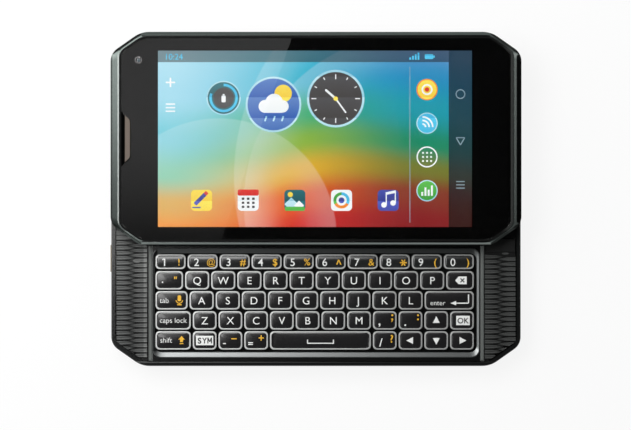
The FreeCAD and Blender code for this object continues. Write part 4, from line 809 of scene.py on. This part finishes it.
colon = [("rounded", 2.3, rise, 0.6, 0.6, 0.25, orange_ink) for rise in (1.6, 0.35)]
singles = {
    "quote_key": [
        ("text", ".", 2.4, -2.1, 0.45, white_ink, 0.012),
        ("text", '"', 2.2, 1.9, 0.1, orange_ink, 0.012),
    ],
    "backspace_key": [
        ("figure", (
            (-1.55, 0), (-0.45, -1.2), (2.05, -1.2), (2.05, 1.2), (-0.45, 1.2),
        ), white_ink, 0.02, 8),
        ("bar", 0.7, 0, 1.7, 0.34, dark_ink, 45, 0.035),
        ("bar", 0.7, 0, 1.7, 0.34, dark_ink, -45, 0.035),
    ],
    "tab_key": [
        ("text", "tab", 1.66, -2.25, 0.05, white_ink, -0.006),
        ("rounded", 2.4, 0.65, 1.1, 1.9, 0.5, orange_ink),
        ("bow", 2.4, 0.15, 1.15, 0.26, 185, 355, orange_ink),
        ("bar", 2.4, -1.1, 0.3, 0.5, orange_ink), ("rounded", 2.4, -1.35, 1.4, 0.34, 0.1, orange_ink),
    ],
    "enter_key": [
        ("text", "enter", 1.57, -3.57, -0.7, white_ink, -0.006),
        ("bar", 3.9, -0.86, 4.0, 0.36, white_ink), ("bar", 5.95, 0.49, 2.7, 0.36, white_ink, 90),
        ("figure", ((0.42, -0.86), (2.12, -1.56), (2.12, -0.16)), white_ink, 0.02, 4),
    ],
    "caps_lock_key": [("text", "caps lock", 1.65, 0, 0.1, white_ink, -0.006)],
    "comma_key": [
        ("text", ",", 2.9, -1.65, 0, white_ink, 0.012), *colon,
        ("bar", 2.25, -0.1, 0.8, 0.3, orange_ink, 60),
    ],
    "period_key": [("text", ".", 2.9, -1.65, -0.2, white_ink, 0.012), *colon],
    "up_key": [("arrow", 90)],
    "ok_key": [
        ("bar", 0.3, 0, 4.2, 2.9, white_ink), ("text", "OK", 1.75, 0.3, 0, dark_ink, 0.012, 0.05),
    ],
    "shift_key": [
        ("text", "shift", 1.62, -2.2, 0.15, white_ink, -0.006),
        ("figure", (
            (2.6, 1.4), (1.6, 0.3), (2.15, 0.3), (2.15, -0.5), (3.05, -0.5), (3.05, 0.3), (3.6, 0.3),
        ), orange_ink),
        ("bar", 2.6, -0.95, 1.1, 0.28, orange_ink),
    ],
    "symbol_key": [
        ("bar", 0, 0, 5.3, 2.9, white_ink), ("text", "S", 1.8, -1.6, 0, dark_ink, 0.035, 0.05),
        *[("bar", x, y, long, 0.32, dark_ink, turn, 0.05) for x, y, long, turn in (
            (-0.05, -0.45, 0.9, 90), (-0.35, 0.42, 1.02, -58), (0.25, 0.42, 1.02, 58),
            (1.0, 0, 1.8, 90), (2.1, 0, 1.8, 90), (1.28, 0.2, 1.3, -68), (1.82, 0.2, 1.3, 68),
        )],
    ],
    "minus_key": [("bar", -1.85, -0.95, 0.9, 0.34, white_ink), ("bar", 1.1, 0.55, 1.65, 0.34, orange_ink)],
    "equals_key": [
        ("bar", -1.75, -0.68, 1.45, 0.3, white_ink), ("bar", -1.75, -1.22, 1.45, 0.3, white_ink),
        ("bar", 1.55, 0.8, 1.65, 0.34, orange_ink), ("bar", 1.55, 0.8, 1.65, 0.34, orange_ink, 90),
    ],
    "space_key": [
        ("bar", 0, -0.85, 8.3, 0.3, white_ink),
        ("bar", -4.0, -0.3, 0.3, 1.2, white_ink), ("bar", 4.0, -0.3, 0.3, 1.2, white_ink),
    ],
    "slash_key": [
        ("text", "/", 2.55, -1.2, -0.5, white_ink, 0.012),
        ("text", "?", 2.4, 2.1, 0.6, orange_ink, 0.012),
    ],
    "left_key": [("arrow", 180)],
    "down_key": [("arrow", -90)],
    "right_key": [("arrow", 0)],
}
for node_name, signs in singles.items():
    low_corner, high_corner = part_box(node_name)
    cap = key_cap("cap", low_corner.x, high_corner.x, low_corner.y, high_corner.y, key_black)
    prints = Prints(cap, (low_corner.x + high_corner.x) / 2, (low_corner.y + high_corner.y) / 2)
    for kind, *details in signs:
        getattr(prints, kind)(*details)
    prints.keep(node_name.replace("_key", "_cap"), node_name)

# ------------------------------------------------------------------ keyboard trim
# A satin silver frame around the keys, die-cast and painted. Its upper face slopes down
# towards the keys on all four sides, and it is glued into the deck.
trim_silver = Finish("trim_silver", {"Metallic": 0.9, "Roughness": 0.3})
along_trim, trim_y, _ = trim_silver.along(trim_silver.spot())
# Painted light: the silver is lighter on the left and darker to the right, as the light falls from the
# left.
to_right = trim_silver.between(along_trim, -50 * mm, 46 * mm)
satin = trim_silver.mix(
    trim_silver.grain(2.0, 3.0, (1, 8, 1)),
    trim_silver.mix(to_right, tint(118, 120, 120), tint(88, 90, 90)),
    trim_silver.mix(to_right, tint(134, 136, 136), tint(100, 102, 102)),
)
above_low_band = trim_silver.between(trim_y, -28.7 * mm, -28.2 * mm)
left_shade = trim_silver.between(along_trim, -50.65 * mm, -50.5 * mm) * above_low_band
left_shade = left_shade * trim_silver.between(along_trim, -49.3 * mm, -48.9 * mm, 0.85, 0.0)
low_shade = trim_silver.between(along_trim, -46 * mm, -49 * mm, 0.0, 0.4) * (1 - above_low_band)
shade = left_shade + low_shade
# Painted highlight: the inner slope at the right end, which faces the light, is painted lighter.
right_end_highlight = trim_silver.between(along_trim, 48.8 * mm, 49.4 * mm, 0.0, 0.6)
satin = trim_silver.mix(right_end_highlight, satin, tint(150, 152, 152))
trim_silver.paint(shade, satin, tint(12, 12, 12))
low_corner, high_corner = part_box("keyboard_trim")
trim = rectangle(
    "keyboard_trim_frame", low_corner.x, high_corner.x, low_corner.y, high_corner.y, low_corner.z
)
bpy.ops.mesh.bevel(affect="VERTICES", offset=2.4 * mm, segments=8)
bpy.ops.mesh.select_all(action="SELECT")
raise_by(high_corner.z - low_corner.z - 0.1 * mm)
middle = ((low_corner.x + high_corner.x) / 2, (low_corner.y + high_corner.y) / 2, 0)
wide, deep = high_corner.x - low_corner.x, high_corner.y - low_corner.y
raise_by(0.08 * mm)
widen(1 - 0.4 * mm / wide, 1 - 0.6 * mm / deep, middle)
raise_by(-0.32 * mm)
widen(100.2 * mm / wide, 31.3 * mm / deep, middle)
bpy.ops.transform.translate(value=(-0.05 * mm, 0, 0))
raise_by(-1.2 * mm)
bpy.ops.mesh.delete(type="FACE")
trim = close(trim, [trim_silver], 8)
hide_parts("keyboard_trim")
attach(trim, "base_half")

# ------------------------------------------------------------------ slide
# A steel plate screwed to the base carries two runners in the rails of the screen half, with
# two snap springs and a folded flat cable between the halves.
slide_steel = Finish("slide_steel", {"Metallic": 1.0, "Roughness": 0.34})
slide_steel.speckle((112, 113, 115), (146, 147, 149), 1.0, 3.0, (12, 1, 1))
slide_steel.coat("slide_plate", "slide_rails")


def rounded_off(points, rounds=4):
    """The same line with its inner corners cut, again and again, until it is smooth."""
    for _ in range(rounds):
        cut = [points[0]]
        for first, second in zip(points, points[1:]):
            cut.append(tuple(0.75 * a + 0.25 * b for a, b in zip(first, second)))
            cut.append(tuple(0.25 * a + 0.75 * b for a, b in zip(first, second)))
        points = cut + [points[-1]]
    return points


def eye(x, y, turns):
    """Points around the eye that a spring ends in, in millimetres, at some degrees."""
    angles = [math.radians(turn) for turn in turns]
    return [(x + 0.9 * math.cos(a), y + 0.9 * math.sin(a)) for a in angles]


low_corner, high_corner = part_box("slide_springs")
spring_level = (low_corner.z + high_corner.z) / 2
for name, facing in (("left_snap_spring", -1), ("right_snap_spring", 1)):
    line = eye(30, 12, [131 + 320 * (1 - step / 16) for step in range(16)])
    line += rounded_off([(29.41, 12.68), (34.2, 17.3), (24.2, 31.3), (14.0, 31.3)])
    line += eye(14, 30.4, range(110, 411, 20))
    wire = bpy.data.curves.new(name, "CURVE")
    wire.dimensions = "3D"
    wire.bevel_depth = 0.25 * mm
    wire.bevel_resolution = 2
    wire.use_fill_caps = True
    path = wire.splines.new("POLY")
    path.points.add(len(line) - 1)
    for point, (x, y) in zip(path.points, line):
        point.co = (facing * x * mm, y * mm, spring_level, 1)
    choose(placed(name, wire))
    bpy.ops.object.convert(target="MESH")
    spring = close(bpy.context.object, [spring_steel], 60)
    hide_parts("slide_springs")
    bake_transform(spring)

flex_film = Finish("flex_film", {"Roughness": 0.35, "Coat Weight": 0.3})
tracks = flex_film.waves("BANDS", "X", 260.0)
flex_film.paint(flex_film.between(tracks, 0.4, 0.6), tint(150, 84, 26), tint(196, 124, 48))

bend = [math.radians(step * 22.5) for step in range(9)]
run = [(17.9, 4.8), (14.0, 4.8), (10.3, 4.8)]
run += [(10.3 - 0.3 * math.sin(a), 5.1 - 0.3 * math.cos(a)) for a in bend[1:5]]
run += [(10.3 - 0.3 * math.cos(a), 7.3 + 0.3 * math.sin(a)) for a in bend[:5]]
run += [(10.3 + 17.9 * step / 12, 7.6) for step in range(1, 13)]
run += [(28.2 + 0.45 * math.sin(a), 8.0625 - 0.4625 * math.cos(a)) for a in bend[1:]]
run += [(28.2 - 14.9 * step / 10, 8.525) for step in range(1, 11)]
clear()
bpy.ops.mesh.primitive_grid_add(x_subdivisions=1, y_subdivisions=len(run) - 1, size=2)
cable = bpy.context.object
cable.name = "flat_cable"
for point in cable.data.vertices:
    y, z = run[round((point.co.y + 1) / 2 * (len(run) - 1))]
    point.co = (point.co.x * 8 * mm, y * mm, z * mm)
sheet_depth = cable.modifiers.new("depth", "SOLIDIFY")
sheet_depth.thickness = 0.15 * mm
sheet_depth.offset = 0
bpy.ops.object.modifier_apply(modifier="depth")
cable = close(cable, [flex_film], 40)
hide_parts("flex_cable")
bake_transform(cable)

# ------------------------------------------------------------------ screen half, shell
# A thin pressed back cover, the moulded side frame, and the carrier plate for the panel, held
# together by four screws from below.
back_metal = Finish("back_metal", {"Metallic": 0.7, "Roughness": 0.4})
back_metal.speckle((52, 53, 54), (66, 67, 68), 0.5, 4.0)
back_metal.relief(back_metal.grain(8.0), 0.008 * mm, 0.4)
back_metal.coat("display_back_cover")
side_plastic = Finish("side_plastic", {"Roughness": 0.28, "Specular IOR Level": 0.6})
side_plastic.speckle((18, 19, 19), (27, 28, 28), 3.0)
side_plastic.relief(side_plastic.grain(7.0), 0.008 * mm, 0.4)
side_plastic.coat("display_frame")
carrier = Finish("carrier_plate", {"Metallic": 1.0, "Roughness": 0.4})
carrier.speckle((120, 122, 124), (150, 152, 154), 0.8)
carrier.coat("display_plate")

# ------------------------------------------------------------------ display panel
# A 4.35 inch panel, lit. Its home screen is drawn here: a backdrop of soft colours, a status
# strip, three round dials and two rows of plain icons.
screen_x, screen_y = -0.32 * mm, 37.3 * mm
half_x, half_y = 48.45 * mm, 27.2 * mm
panel_face = 12.45 * mm
dark_face = {"Base Color": (0, 0, 0, 1), "Roughness": 0.5, "Emission Strength": 1.05}
picture = Finish("screen_picture", dark_face)
across, upwards, _ = picture.along(picture.spot(shift=(-screen_x, -screen_y, 0)))
across = across / (2 * half_x) + 0.5
upwards = upwards / (2 * half_y) + 0.5
swirl = picture.node("TexNoise", {}, {"Vector": picture.spot(), "Scale": 22.0, "Detail": 1.0})
sway = picture.math("SINE", across * 5.5 + swirl * 2.0) * 0.05
level = upwards + sway


def ramp(*stops):
    """A run of colours over the picture's height, each a place and a colour."""
    steps = [(place, tint(*colour)) for place, *colour in stops]
    return picture.node("ValToRGB", {"interpolation": "EASE", "stops": steps}, {"Fac": level})


left_band = ramp(
    (0.0, 246, 150, 60), (0.18, 222, 176, 96), (0.34, 142, 206, 178),
    (0.55, 112, 202, 216), (0.8, 162, 218, 236), (1.0, 172, 222, 238),
)
middle_band = ramp(
    (0.0, 216, 30, 26), (0.15, 230, 88, 28), (0.3, 232, 176, 26), (0.46, 140, 180, 40),
    (0.62, 40, 170, 96), (0.8, 34, 180, 206), (1.0, 60, 186, 214),
)
right_band = ramp(
    (0.0, 132, 14, 20), (0.16, 130, 50, 30), (0.3, 112, 118, 34), (0.45, 0, 134, 96),
    (0.65, 0, 150, 170), (0.85, 4, 136, 190), (1.0, 10, 120, 186),
)
colours = picture.mix(picture.between(across, 0.0, 0.5), left_band, middle_band)
colours = picture.mix(picture.between(across, 0.36, 0.84), colours, right_band)
for reach, start_x, start_y in ((0.052, 0.03, -0.02), (0.07, 0.045, -0.012), (0.036, -0.03, -0.03)):
    gap_x = picture.along(picture.spot(shift=(-start_x, -screen_y - start_y, 0)))
    away = picture.math("POWER", gap_x[0] * gap_x[0] + gap_x[1] * gap_x[1], 0.5)
    arc = picture.band(away, reach - 0.014, reach, reach, reach + 0.0006)
    colours = picture.mix(arc * 0.13, colours, (1, 1, 1, 1))
nav = picture.math("GREATER_THAN", across, 0.926)
status = picture.math("GREATER_THAN", upwards, 0.935)
veil = picture.mix(picture.between(upwards, 0.05, 0.5), tint(26, 4, 0), tint(4, 40, 56))
colours = picture.mix(nav * 0.91, colours, veil)
colours = picture.mix(status * (1 - nav) * 0.7, colours, tint(30, 24, 10))
picture.set({"Emission Color": colours})
picture.coat("lcd_panel")

# ------------------------------------------------------------------ home screen
# What the lit panel shows on top of the backdrop: dials, icons and the status signs, drawn as
# flat shapes on the panel's face, each a little above the one it lies on.
marks = []


def light(name, upper, lower):
    """A colour of the picture that fades from upper to lower over a few millimetres."""
    paint = Finish("picture_" + name, dark_face)
    height_on = paint.along(paint.spot(shift=(0, -screen_y, 0)))[1]
    rise = paint.math("FRACT", height_on / (6.4 * mm) + 10.0)
    paint.set({"Emission Color": paint.mix(rise, tint(*lower), tint(*upper))})
    return paint


def lay(piece, paint, layer):
    """Put a flat shape on the panel, in the given layer."""
    choose(piece)
    settle()
    level = panel_face + (2 + 4 * layer) * 0.001 * mm
    piece.data.transform(Matrix.Translation((screen_x, screen_y, level)))
    piece.data.materials.clear()
    piece.data.materials.append(paint.material)
    marks.append(piece)
    clear()


def disc(x, y, radius, paint, layer):
    """A round spot."""
    clear()
    bpy.ops.mesh.primitive_circle_add(
        vertices=40, radius=radius * mm, fill_type="NGON", location=(x * mm, y * mm, 0)
    )
    lay(bpy.context.object, paint, layer)


def hoop(x, y, radius, width, paint, layer, start=0, end=360):
    """A ring, or a part of one that runs clockwise from start to end degrees."""
    steps = max(6, int((end - start) / 7.5))
    angles = [math.radians(90 - start - (end - start) * n / steps) for n in range(steps + 1)]
    corners = [
        ((x + reach * math.cos(a)) * mm, (y + reach * math.sin(a)) * mm, 0)
        for reach in (radius, radius - width) for a in angles
    ]
    faces = [(n, n + 1, steps + 2 + n, steps + 1 + n) for n in range(steps)]
    lay(woven("hoop", corners, faces), paint, layer)


def tile(x, y, wide, high, corner, paint, layer, turn=0):
    """A rounded rectangle, turned about its own middle."""
    clear()
    bpy.ops.mesh.primitive_plane_add(size=1)
    piece = bpy.context.object
    piece.scale = (wide * mm, high * mm, 1)
    bpy.ops.object.transform_apply(location=False, rotation=False, scale=True)
    if corner:
        open_all()
        bpy.ops.mesh.bevel(affect="VERTICES", offset=corner * mm, segments=4)
    clear()
    piece.rotation_euler[2] = math.radians(turn)
    piece.location = (x * mm, y * mm, 0)
    lay(piece, paint, layer)


def figures(words, x, y, high, paint, layer):
    """Words with capitals of this height."""
    clear()
    bpy.ops.object.text_add(location=(0, 0, 0))
    word = bpy.context.object
    word.data.body = words
    word.data.align_x = "CENTER"
    word.data.size = high * mm / capital_height
    bpy.ops.object.convert(target="MESH")
    bpy.context.object.location = (x * mm, (y - high / 2) * mm, 0)
    lay(bpy.context.object, paint, layer)


white_light = light("white", (250, 252, 252), (236, 242, 244))
soft_light = light("pale", (196, 232, 242), (150, 206, 224))
cyan_light = light("cyan", (84, 204, 240), (60, 180, 224))
smoke_light = light("smoke", (74, 74, 76), (60, 56, 56))
blue_light = light("blue", (92, 132, 196), (34, 88, 176))
teal_light = light("teal", (30, 120, 130), (20, 84, 92))
sun_light = light("yellow", (252, 232, 90), (244, 206, 62))
red_light = light("red", (232, 62, 52), (206, 36, 34))
green_light = light("green", (98, 196, 84), (52, 150, 50))
orange_light = light("orange", (250, 150, 50), (232, 112, 28))
night_light = light("indigo", (76, 90, 190), (46, 56, 140))
dim_light = light("dim", (150, 172, 182), (130, 154, 166))

# status signs: the time on the left, reception and battery on the right
figures("10:24", -43.6, 25.4, 1.9, cyan_light, 1)
for step in range(4):
    tile(29.4 + step * 0.85, 24.75 + step * 0.25, 0.55, 0.7 + step * 0.5, 0, cyan_light, 1)
tile(35.2, 25.35, 2.6, 1.5, 0.3, cyan_light, 1)
tile(36.75, 25.35, 0.4, 0.7, 0, cyan_light, 1)

# small gauge, blue dial with a cloud, dark clock
disc(-28.2, 12.6, 5.3, soft_light, 1)
disc(-28.2, 12.6, 4.9, teal_light, 2)
hoop(-28.2, 12.6, 4.4, 0.75, cyan_light, 3, 0, 290)
disc(-28.2, 12.6, 3.2, smoke_light, 3)
tile(-28.2, 12.3, 1.3, 2.1, 0.25, white_light, 4)
tile(-28.2, 13.6, 0.6, 0.4, 0, white_light, 4)
disc(-12.8, 10.6, 8.6, soft_light, 1)
disc(-12.8, 10.6, 8.0, blue_light, 2)
disc(-9.8, 14.0, 2.7, sun_light, 3)
for x, y, size in ((-15.4, 10.0, 2.0), (-12.6, 11.2, 2.7), (-10.0, 10.0, 1.9)):
    disc(x, y, size, white_light, 4)
tile(-12.7, 9.0, 6.6, 2.0, 0.9, white_light, 5)
for x in (-15.2, -12.6, -10.0):
    tile(x, 6.2, 0.5, 1.7, 0.2, soft_light, 5, -18)
disc(6.4, 12.4, 8.9, soft_light, 1)
disc(6.4, 12.4, 8.2, smoke_light, 2)
for hour in range(12):
    angle = math.radians(30 * hour)
    long = 1.5 if hour % 3 == 0 else 0.8
    out = 7.5 - long / 2
    x, y = 6.4 + out * math.sin(angle), 12.4 + out * math.cos(angle)
    tile(x, y, 0.32, long, 0, white_light, 3, -30 * hour)
tile(6.4 - 1.55, 12.4 + 1.35, 0.7, 4.4, 0.3, white_light, 4, 49)
tile(6.4 + 1.55, 12.4 - 2.15, 0.5, 5.6, 0.24, white_light, 4, 36)
disc(6.4, 12.4, 0.7, sun_light, 5)

# five square icons along the lower edge
for number, paint in enumerate((sun_light, white_light, teal_light, white_light, night_light)):
    tile(-35.0 + 14.4 * number, -19.0, 6.5, 6.5, 1.2, paint, 1)
tile(-35.4, -18.6, 4.6, 1.2, 0.2, night_light, 2, 45)
tile(-33.6, -16.8, 1.0, 1.2, 0.2, red_light, 3, 45)
tile(-36.6, -21.2, 2.6, 0.4, 0, night_light, 2)
tile(-20.6, -16.6, 6.5, 1.9, 0.5, red_light, 2)
for row in range(3):
    for column in range(3):
        tile(-22.2 + 1.6 * column, -18.5 - 1.25 * row, 0.8, 0.7, 0.1, smoke_light, 2)
tile(-7.3, -20.2, 3.0, 3.0, 0.1, soft_light, 2, 45)
tile(-4.9, -20.6, 2.2, 2.2, 0.1, white_light, 3, 45)
tile(-6.2, -21.6, 6.1, 1.3, 0.4, green_light, 4)
disc(-7.6, -17.2, 0.8, sun_light, 3)
for start, paint in ((0, cyan_light), (120, orange_light), (240, green_light)):
    hoop(8.2, -19.0, 2.5, 0.9, paint, 2, start, start + 120)
disc(8.2, -19.0, 0.9, night_light, 2)
for x, y in ((21.3, -20.4), (24.1, -19.8)):
    disc(x, y, 0.85, white_light, 2)
tile(22.0, -18.6, 0.35, 3.6, 0, white_light, 2)
tile(24.8, -18.0, 0.35, 3.6, 0, white_light, 2)
tile(23.4, -16.6, 3.2, 0.8, 0.1, white_light, 2, 12)

# four round icons on the right
for y, rim, face in ((15.2, orange_light, sun_light), (4.8, soft_light, cyan_light)):
    disc(34.6, y, 3.3, rim, 1)
    disc(34.6, y, 2.95, face, 2)
hoop(34.6, -5.6, 3.25, 0.42, white_light, 1)
disc(34.6, -16.0, 3.3, soft_light, 1)
disc(34.6, -16.0, 2.95, green_light, 2)
hoop(34.6, 15.2, 1.7, 0.5, white_light, 3)
disc(34.6, 15.2, 0.7, red_light, 3)
for step in range(3):
    hoop(33.2, 3.6, 1.2 + step * 1.1, 0.5, white_light, 3, 0, 90)
for row in (-1, 0, 1):
    for column in (-1, 0, 1):
        tile(34.6 + 1.25 * column, -5.6 + 1.25 * row, 0.6, 0.6, 0.15, white_light, 2)
for step, high in enumerate((1.2, 2.6, 1.9, 3.2)):
    tile(33.1 + step * 1.0, -17.6 + high / 2, 0.6, high, 0, white_light, 3)
tile(29.3, -1.8, 0.22, 48.0, 0, dim_light, 1)

# signs on the dark strip, and two at the far left
hoop(44.9, 13.8, 1.5, 0.32, dim_light, 1)
for turn in (0, 120, 240):
    angle = math.radians(turn)
    tile(44.9 - 0.75 * math.sin(angle), 0.75 * math.cos(angle) - 0.4, 2.6, 0.32, 0, dim_light, 1, turn)
for step in (-1, 0, 1):
    tile(44.9, -14.2 + step, 2.6, 0.32, 0, dim_light, 1)
tile(-44.6, 17.4, 2.9, 0.5, 0.1, white_light, 1)
tile(-44.6, 17.4, 0.5, 2.9, 0.1, white_light, 1)
for step in (-1, 0, 1):
    tile(-44.6, 9.6 + step * 1.1, 2.9, 0.42, 0.1, white_light, 1)

marks_piece = join(marks, "home_screen_marks")
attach(marks_piece, "display_half")

# ------------------------------------------------------------------ cover glass
# Toughened glass over the whole screen half. Its underside is printed black around the lit
# window, with a round opening for the front camera.
touch_glass = Finish("touch_glass", {
    "Base Color": (1, 1, 1, 1), "Transmission Weight": 1.0, "IOR": 1.5,
})
touch_glass.set({"Roughness": touch_glass.grain(0.02) * 0.004})
touch_glass.coat("cover_glass")
black_print = Finish("black_print", {"Roughness": 0.6, "Specular IOR Level": 0.0})
black_print.speckle((6, 6, 6), (10, 9, 9), 2.0)
border_level = 12.46 * mm
camera_x, camera_y = -54.8 * mm, 61.6 * mm
left, right, low, high = screen_x - half_x, screen_x + half_x, screen_y - half_y, screen_y + half_y
window = rectangle("black_border", left, right, low, high, border_level)
raise_by(0.0)
widen(1.36, 1.18, (screen_x, screen_y, border_level))
pick(window, lambda face: abs(face.center.x - screen_x) + abs(face.center.y - screen_y) < 1 * mm)
bpy.ops.mesh.delete(type="FACE")
for turn_x in (-1, 1):
    for turn_y in (-1, 1):
        bpy.ops.mesh.select_all(action="SELECT")
        bpy.ops.mesh.bisect(
            plane_co=(turn_x * 55.0 * mm, screen_y + turn_y * 31 * mm, 0),
            plane_no=(turn_x * 6.6, turn_y * 9.4, 0), clear_outer=True,
        )
for way in ((1, 0), (-1, 0), (0, 1), (0, -1)):
    bpy.ops.mesh.select_all(action="SELECT")
    bpy.ops.mesh.bisect(
        plane_co=(way[0] * 60.3 * mm, screen_y + way[1] * 31.2 * mm, 0), plane_no=(way[0], way[1], 0),
        clear_outer=True,
    )
bpy.ops.mesh.select_all(action="SELECT")
raise_by(0.02 * mm)
close(window, [black_print])
bpy.ops.mesh.primitive_cylinder_add(
    vertices=32, radius=1.2 * mm, depth=1 * mm, location=(camera_x, camera_y, 12.47 * mm),
)
drill = bpy.context.object
hole = window.modifiers.new("hole", "BOOLEAN")
hole.operation, hole.object, hole.solver = "DIFFERENCE", drill, "EXACT"
choose(window)
bpy.ops.object.modifier_apply(modifier="hole")
bpy.data.objects.remove(drill)
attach(window, "display_half")

# ------------------------------------------------------------------ front camera
# The camera looks through the opening in the print: a dark barrel, a turned ring and a small
# coated lens.
lens_ring = Finish("lens_ring", {"Metallic": 0.9, "Roughness": 0.3})
barrel = lens_ring.between(lens_ring.along(lens_ring.spot())[2], 12.468 * mm, 12.478 * mm)
lens_ring.paint(
    barrel, tint(10, 11, 12), lens_ring.mix(lens_ring.grain(3.0), tint(76, 75, 76), tint(92, 91, 92))
)
lens_coat = Finish("lens_coating", {"Roughness": 0.08, "Coat Weight": 1.0})
lens_coat.speckle((14, 52, 66), (30, 84, 98), 1.0)
middle = (camera_x, camera_y, 12.455 * mm)
ring = plate(32, 1.15 * mm, middle)
terrace(middle, ((0.03, 0.93), (-0.005, 0.8), (-0.03, 0.62), (-0.05, 0.45)))
bpy.ops.mesh.delete(type="FACE")
ring = close(ring, [lens_ring])
ring.name = "front_camera_ring"
bpy.ops.mesh.primitive_uv_sphere_add(segments=24, ring_count=12, radius=0.55 * mm, location=(0, 0, 0))
lens = bpy.context.object
lens.data.transform(Matrix.Diagonal((1, 1, 0.06, 1)))
lens.data.transform(Matrix.Translation((camera_x, camera_y, 12.44 * mm)))
lens.name = "front_camera_lens"
lens = close(lens, [lens_coat])
for piece in (ring, lens):
    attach(piece, "display_half")

# ------------------------------------------------------------------ earpiece
# A woven bronze-coloured mesh closes the notch in the glass over the earpiece and keeps dust
# away from the receiver below it.
weave = Finish("earpiece_mesh", {"Metallic": 0.4, "Roughness": 0.5})
thread_x, thread_y, _ = weave.along(weave.spot())
warp = weave.math("SINE", thread_x * (2 * math.pi / (0.6 * mm)))
weft = weave.math("SINE", thread_y * (2 * math.pi / (0.6 * mm)))
knit = warp * weft * 0.5 + 0.5
weave.paint(knit, tint(48, 42, 38), tint(134, 119, 108))
weave.relief(knit, 0.08 * mm, 0.8)
weave.coat("earpiece_grille")

# ------------------------------------------------------------------ bezel
# A machined metal ring around the glass: upright below, sloping up to a narrow flat rim. Its
# dark coat is left off along some of the edges, where the bare metal shines; where coat and bare metal
# meet is partly painted reflection, and the metal's lighter and darker tones are painted highlights and
# painted shade.
bezel = Finish("bezel_metal", {"Metallic": 1.0, "Roughness": 0.24})
from_left, upward, level = bezel.along(bezel.spot(shift=(0, -screen_y, 0)))
cut_x, cut_y = 0.5754, 0.8179
away_x = bezel.math("ABSOLUTE", from_left)
away_y = bezel.math("ABSOLUTE", upward)
edge_end = 63.4 * mm - away_x
edge_side = 33.0 * mm - away_y
edge_cut = 58.07 * mm - (away_x * cut_x + away_y * cut_y)
on_end = bezel.between(edge_side - edge_end, -0.1 * mm, 0.1 * mm)
nearest = bezel.math("MINIMUM", edge_end, edge_side)
on_cut = bezel.between(nearest - edge_cut, 0.0, 0.15 * mm)
right_half = bezel.math("GREATER_THAN", from_left, 0.0)
upper_half = bezel.math("GREATER_THAN", upward, 0.0)
left_half, lower_half = 1 - right_half, 1 - upper_half
# Where coat and bare metal meet is set apart for each end, side and cut corner. It is partly the real coat
# and partly painted reflection, dark where the slope reflects darkness; some shares leave a half tone.
left_bare_and_reflection = bezel.between(edge_end, 0.4 * mm, 0.65 * mm, 0.35, 1.0)
right_bare_and_reflection = bezel.between(edge_end, 1.4 * mm, 1.65 * mm)
end_bare_and_reflection = left_bare_and_reflection * left_half + right_bare_and_reflection * right_half
top_bare_and_reflection = bezel.between(edge_side, 0.9 * mm, 1.1 * mm, 0.8, 0.15)
low_bare_and_reflection = bezel.between(edge_side, 0.35 * mm, 0.5 * mm)
low_bare_and_reflection = low_bare_and_reflection * bezel.between(edge_side, 1.0 * mm, 1.15 * mm, 1.0, 0.08)
side_bare_and_reflection = top_bare_and_reflection * upper_half + low_bare_and_reflection * lower_half
cut_bare_and_reflection = bezel.between(edge_cut, 0.72 * mm, 0.84 * mm, 0.1, 0.9)
cut_rim_reflection = bezel.between(edge_cut, 0.2 * mm, 0.8 * mm, 0.45, 0.0)
cut_bare_and_reflection = cut_bare_and_reflection + left_half * lower_half * cut_rim_reflection
bare_and_reflection = side_bare_and_reflection * (1 - on_end) + end_bare_and_reflection * on_end
bare_and_reflection = bare_and_reflection * (1 - on_cut) + cut_bare_and_reflection * on_cut
left_end = on_end * left_half
left_rim_highlight = bezel.between(level, 13.64 * mm, 13.69 * mm) * left_end
left_rim_highlight = left_rim_highlight * bezel.between(edge_end, 2.5 * mm, 2.62 * mm, 1.0, 0.0)
low_line_highlight = lower_half * (1 - on_end) * (1 - on_cut)
# Painted light on the metal: darker towards the bottom of the left end (painted shade), lighter on the
# right end, on the left rim and along a line on the lower side (painted highlights).
metal = bezel.mix(bezel.grain(0.6, 4.0), tint(90, 97, 94), tint(102, 109, 106))
metal = bezel.mix(left_end * bezel.between(upward, 20 * mm, -26 * mm), metal, tint(68, 73, 71))
metal = bezel.mix(on_end * right_half, metal, tint(124, 131, 128))
metal = bezel.mix(left_rim_highlight, metal, tint(130, 134, 132))
metal = bezel.mix(low_line_highlight, metal, tint(124, 129, 127))
bezel.paint(bare_and_reflection, tint(14, 15, 15), metal)
bezel.relief(bezel.grain(10.0), 0.006 * mm, 0.3)
bezel.coat("bezel_ring")

# ------------------------------------------------------------------ glass seal
# A thin black rubber seal fills the joint between the glass and the bezel. It follows the
# outline of the glass, with its four cut corners.
seal_rubber = Finish("seal_rubber", {"Roughness": 0.6, "Specular IOR Level": 0.1})
seal_side = seal_rubber.along(seal_rubber.spot())[0]
# Painted highlight: the seal is lighter towards the right end, where the bezel's inner wall faces the
# light.
seal_rubber.paint(seal_rubber.between(seal_side, 57 * mm, 60 * mm), tint(10, 10, 10), tint(52, 53, 52))


def octagon(end, side, cut, level):
    """The outline of the glass at some reach towards the ends, the sides and the cut corners."""
    quarter = [(end, (cut - end * cut_x) / cut_y), ((cut - side * cut_y) / cut_x, side)]
    points = quarter + [(-x, y) for x, y in reversed(quarter)]
    points += [(-x, -y) for x, y in points]
    return [(x * mm, screen_y + y * mm, level * mm) for x, y in points]


inner, outer = (60.1, 31.02, 56.22), (60.72, 31.62, 56.84)
points = octagon(*inner, 13.42) + octagon(*inner, 13.52) + octagon(*outer, 13.52) + octagon(*outer, 13.42)
faces = []
for row, after in ((0, 8), (8, 16), (16, 24), (24, 0)):
    for spot in range(8):
        following = (spot + 1) % 8
        faces.append((row + spot, row + following, after + following, after + spot))
seal = woven("glass_seal", points, faces)
seal = close(seal, [seal_rubber])
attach(seal, "display_half")

bpy.context.view_layer.update()
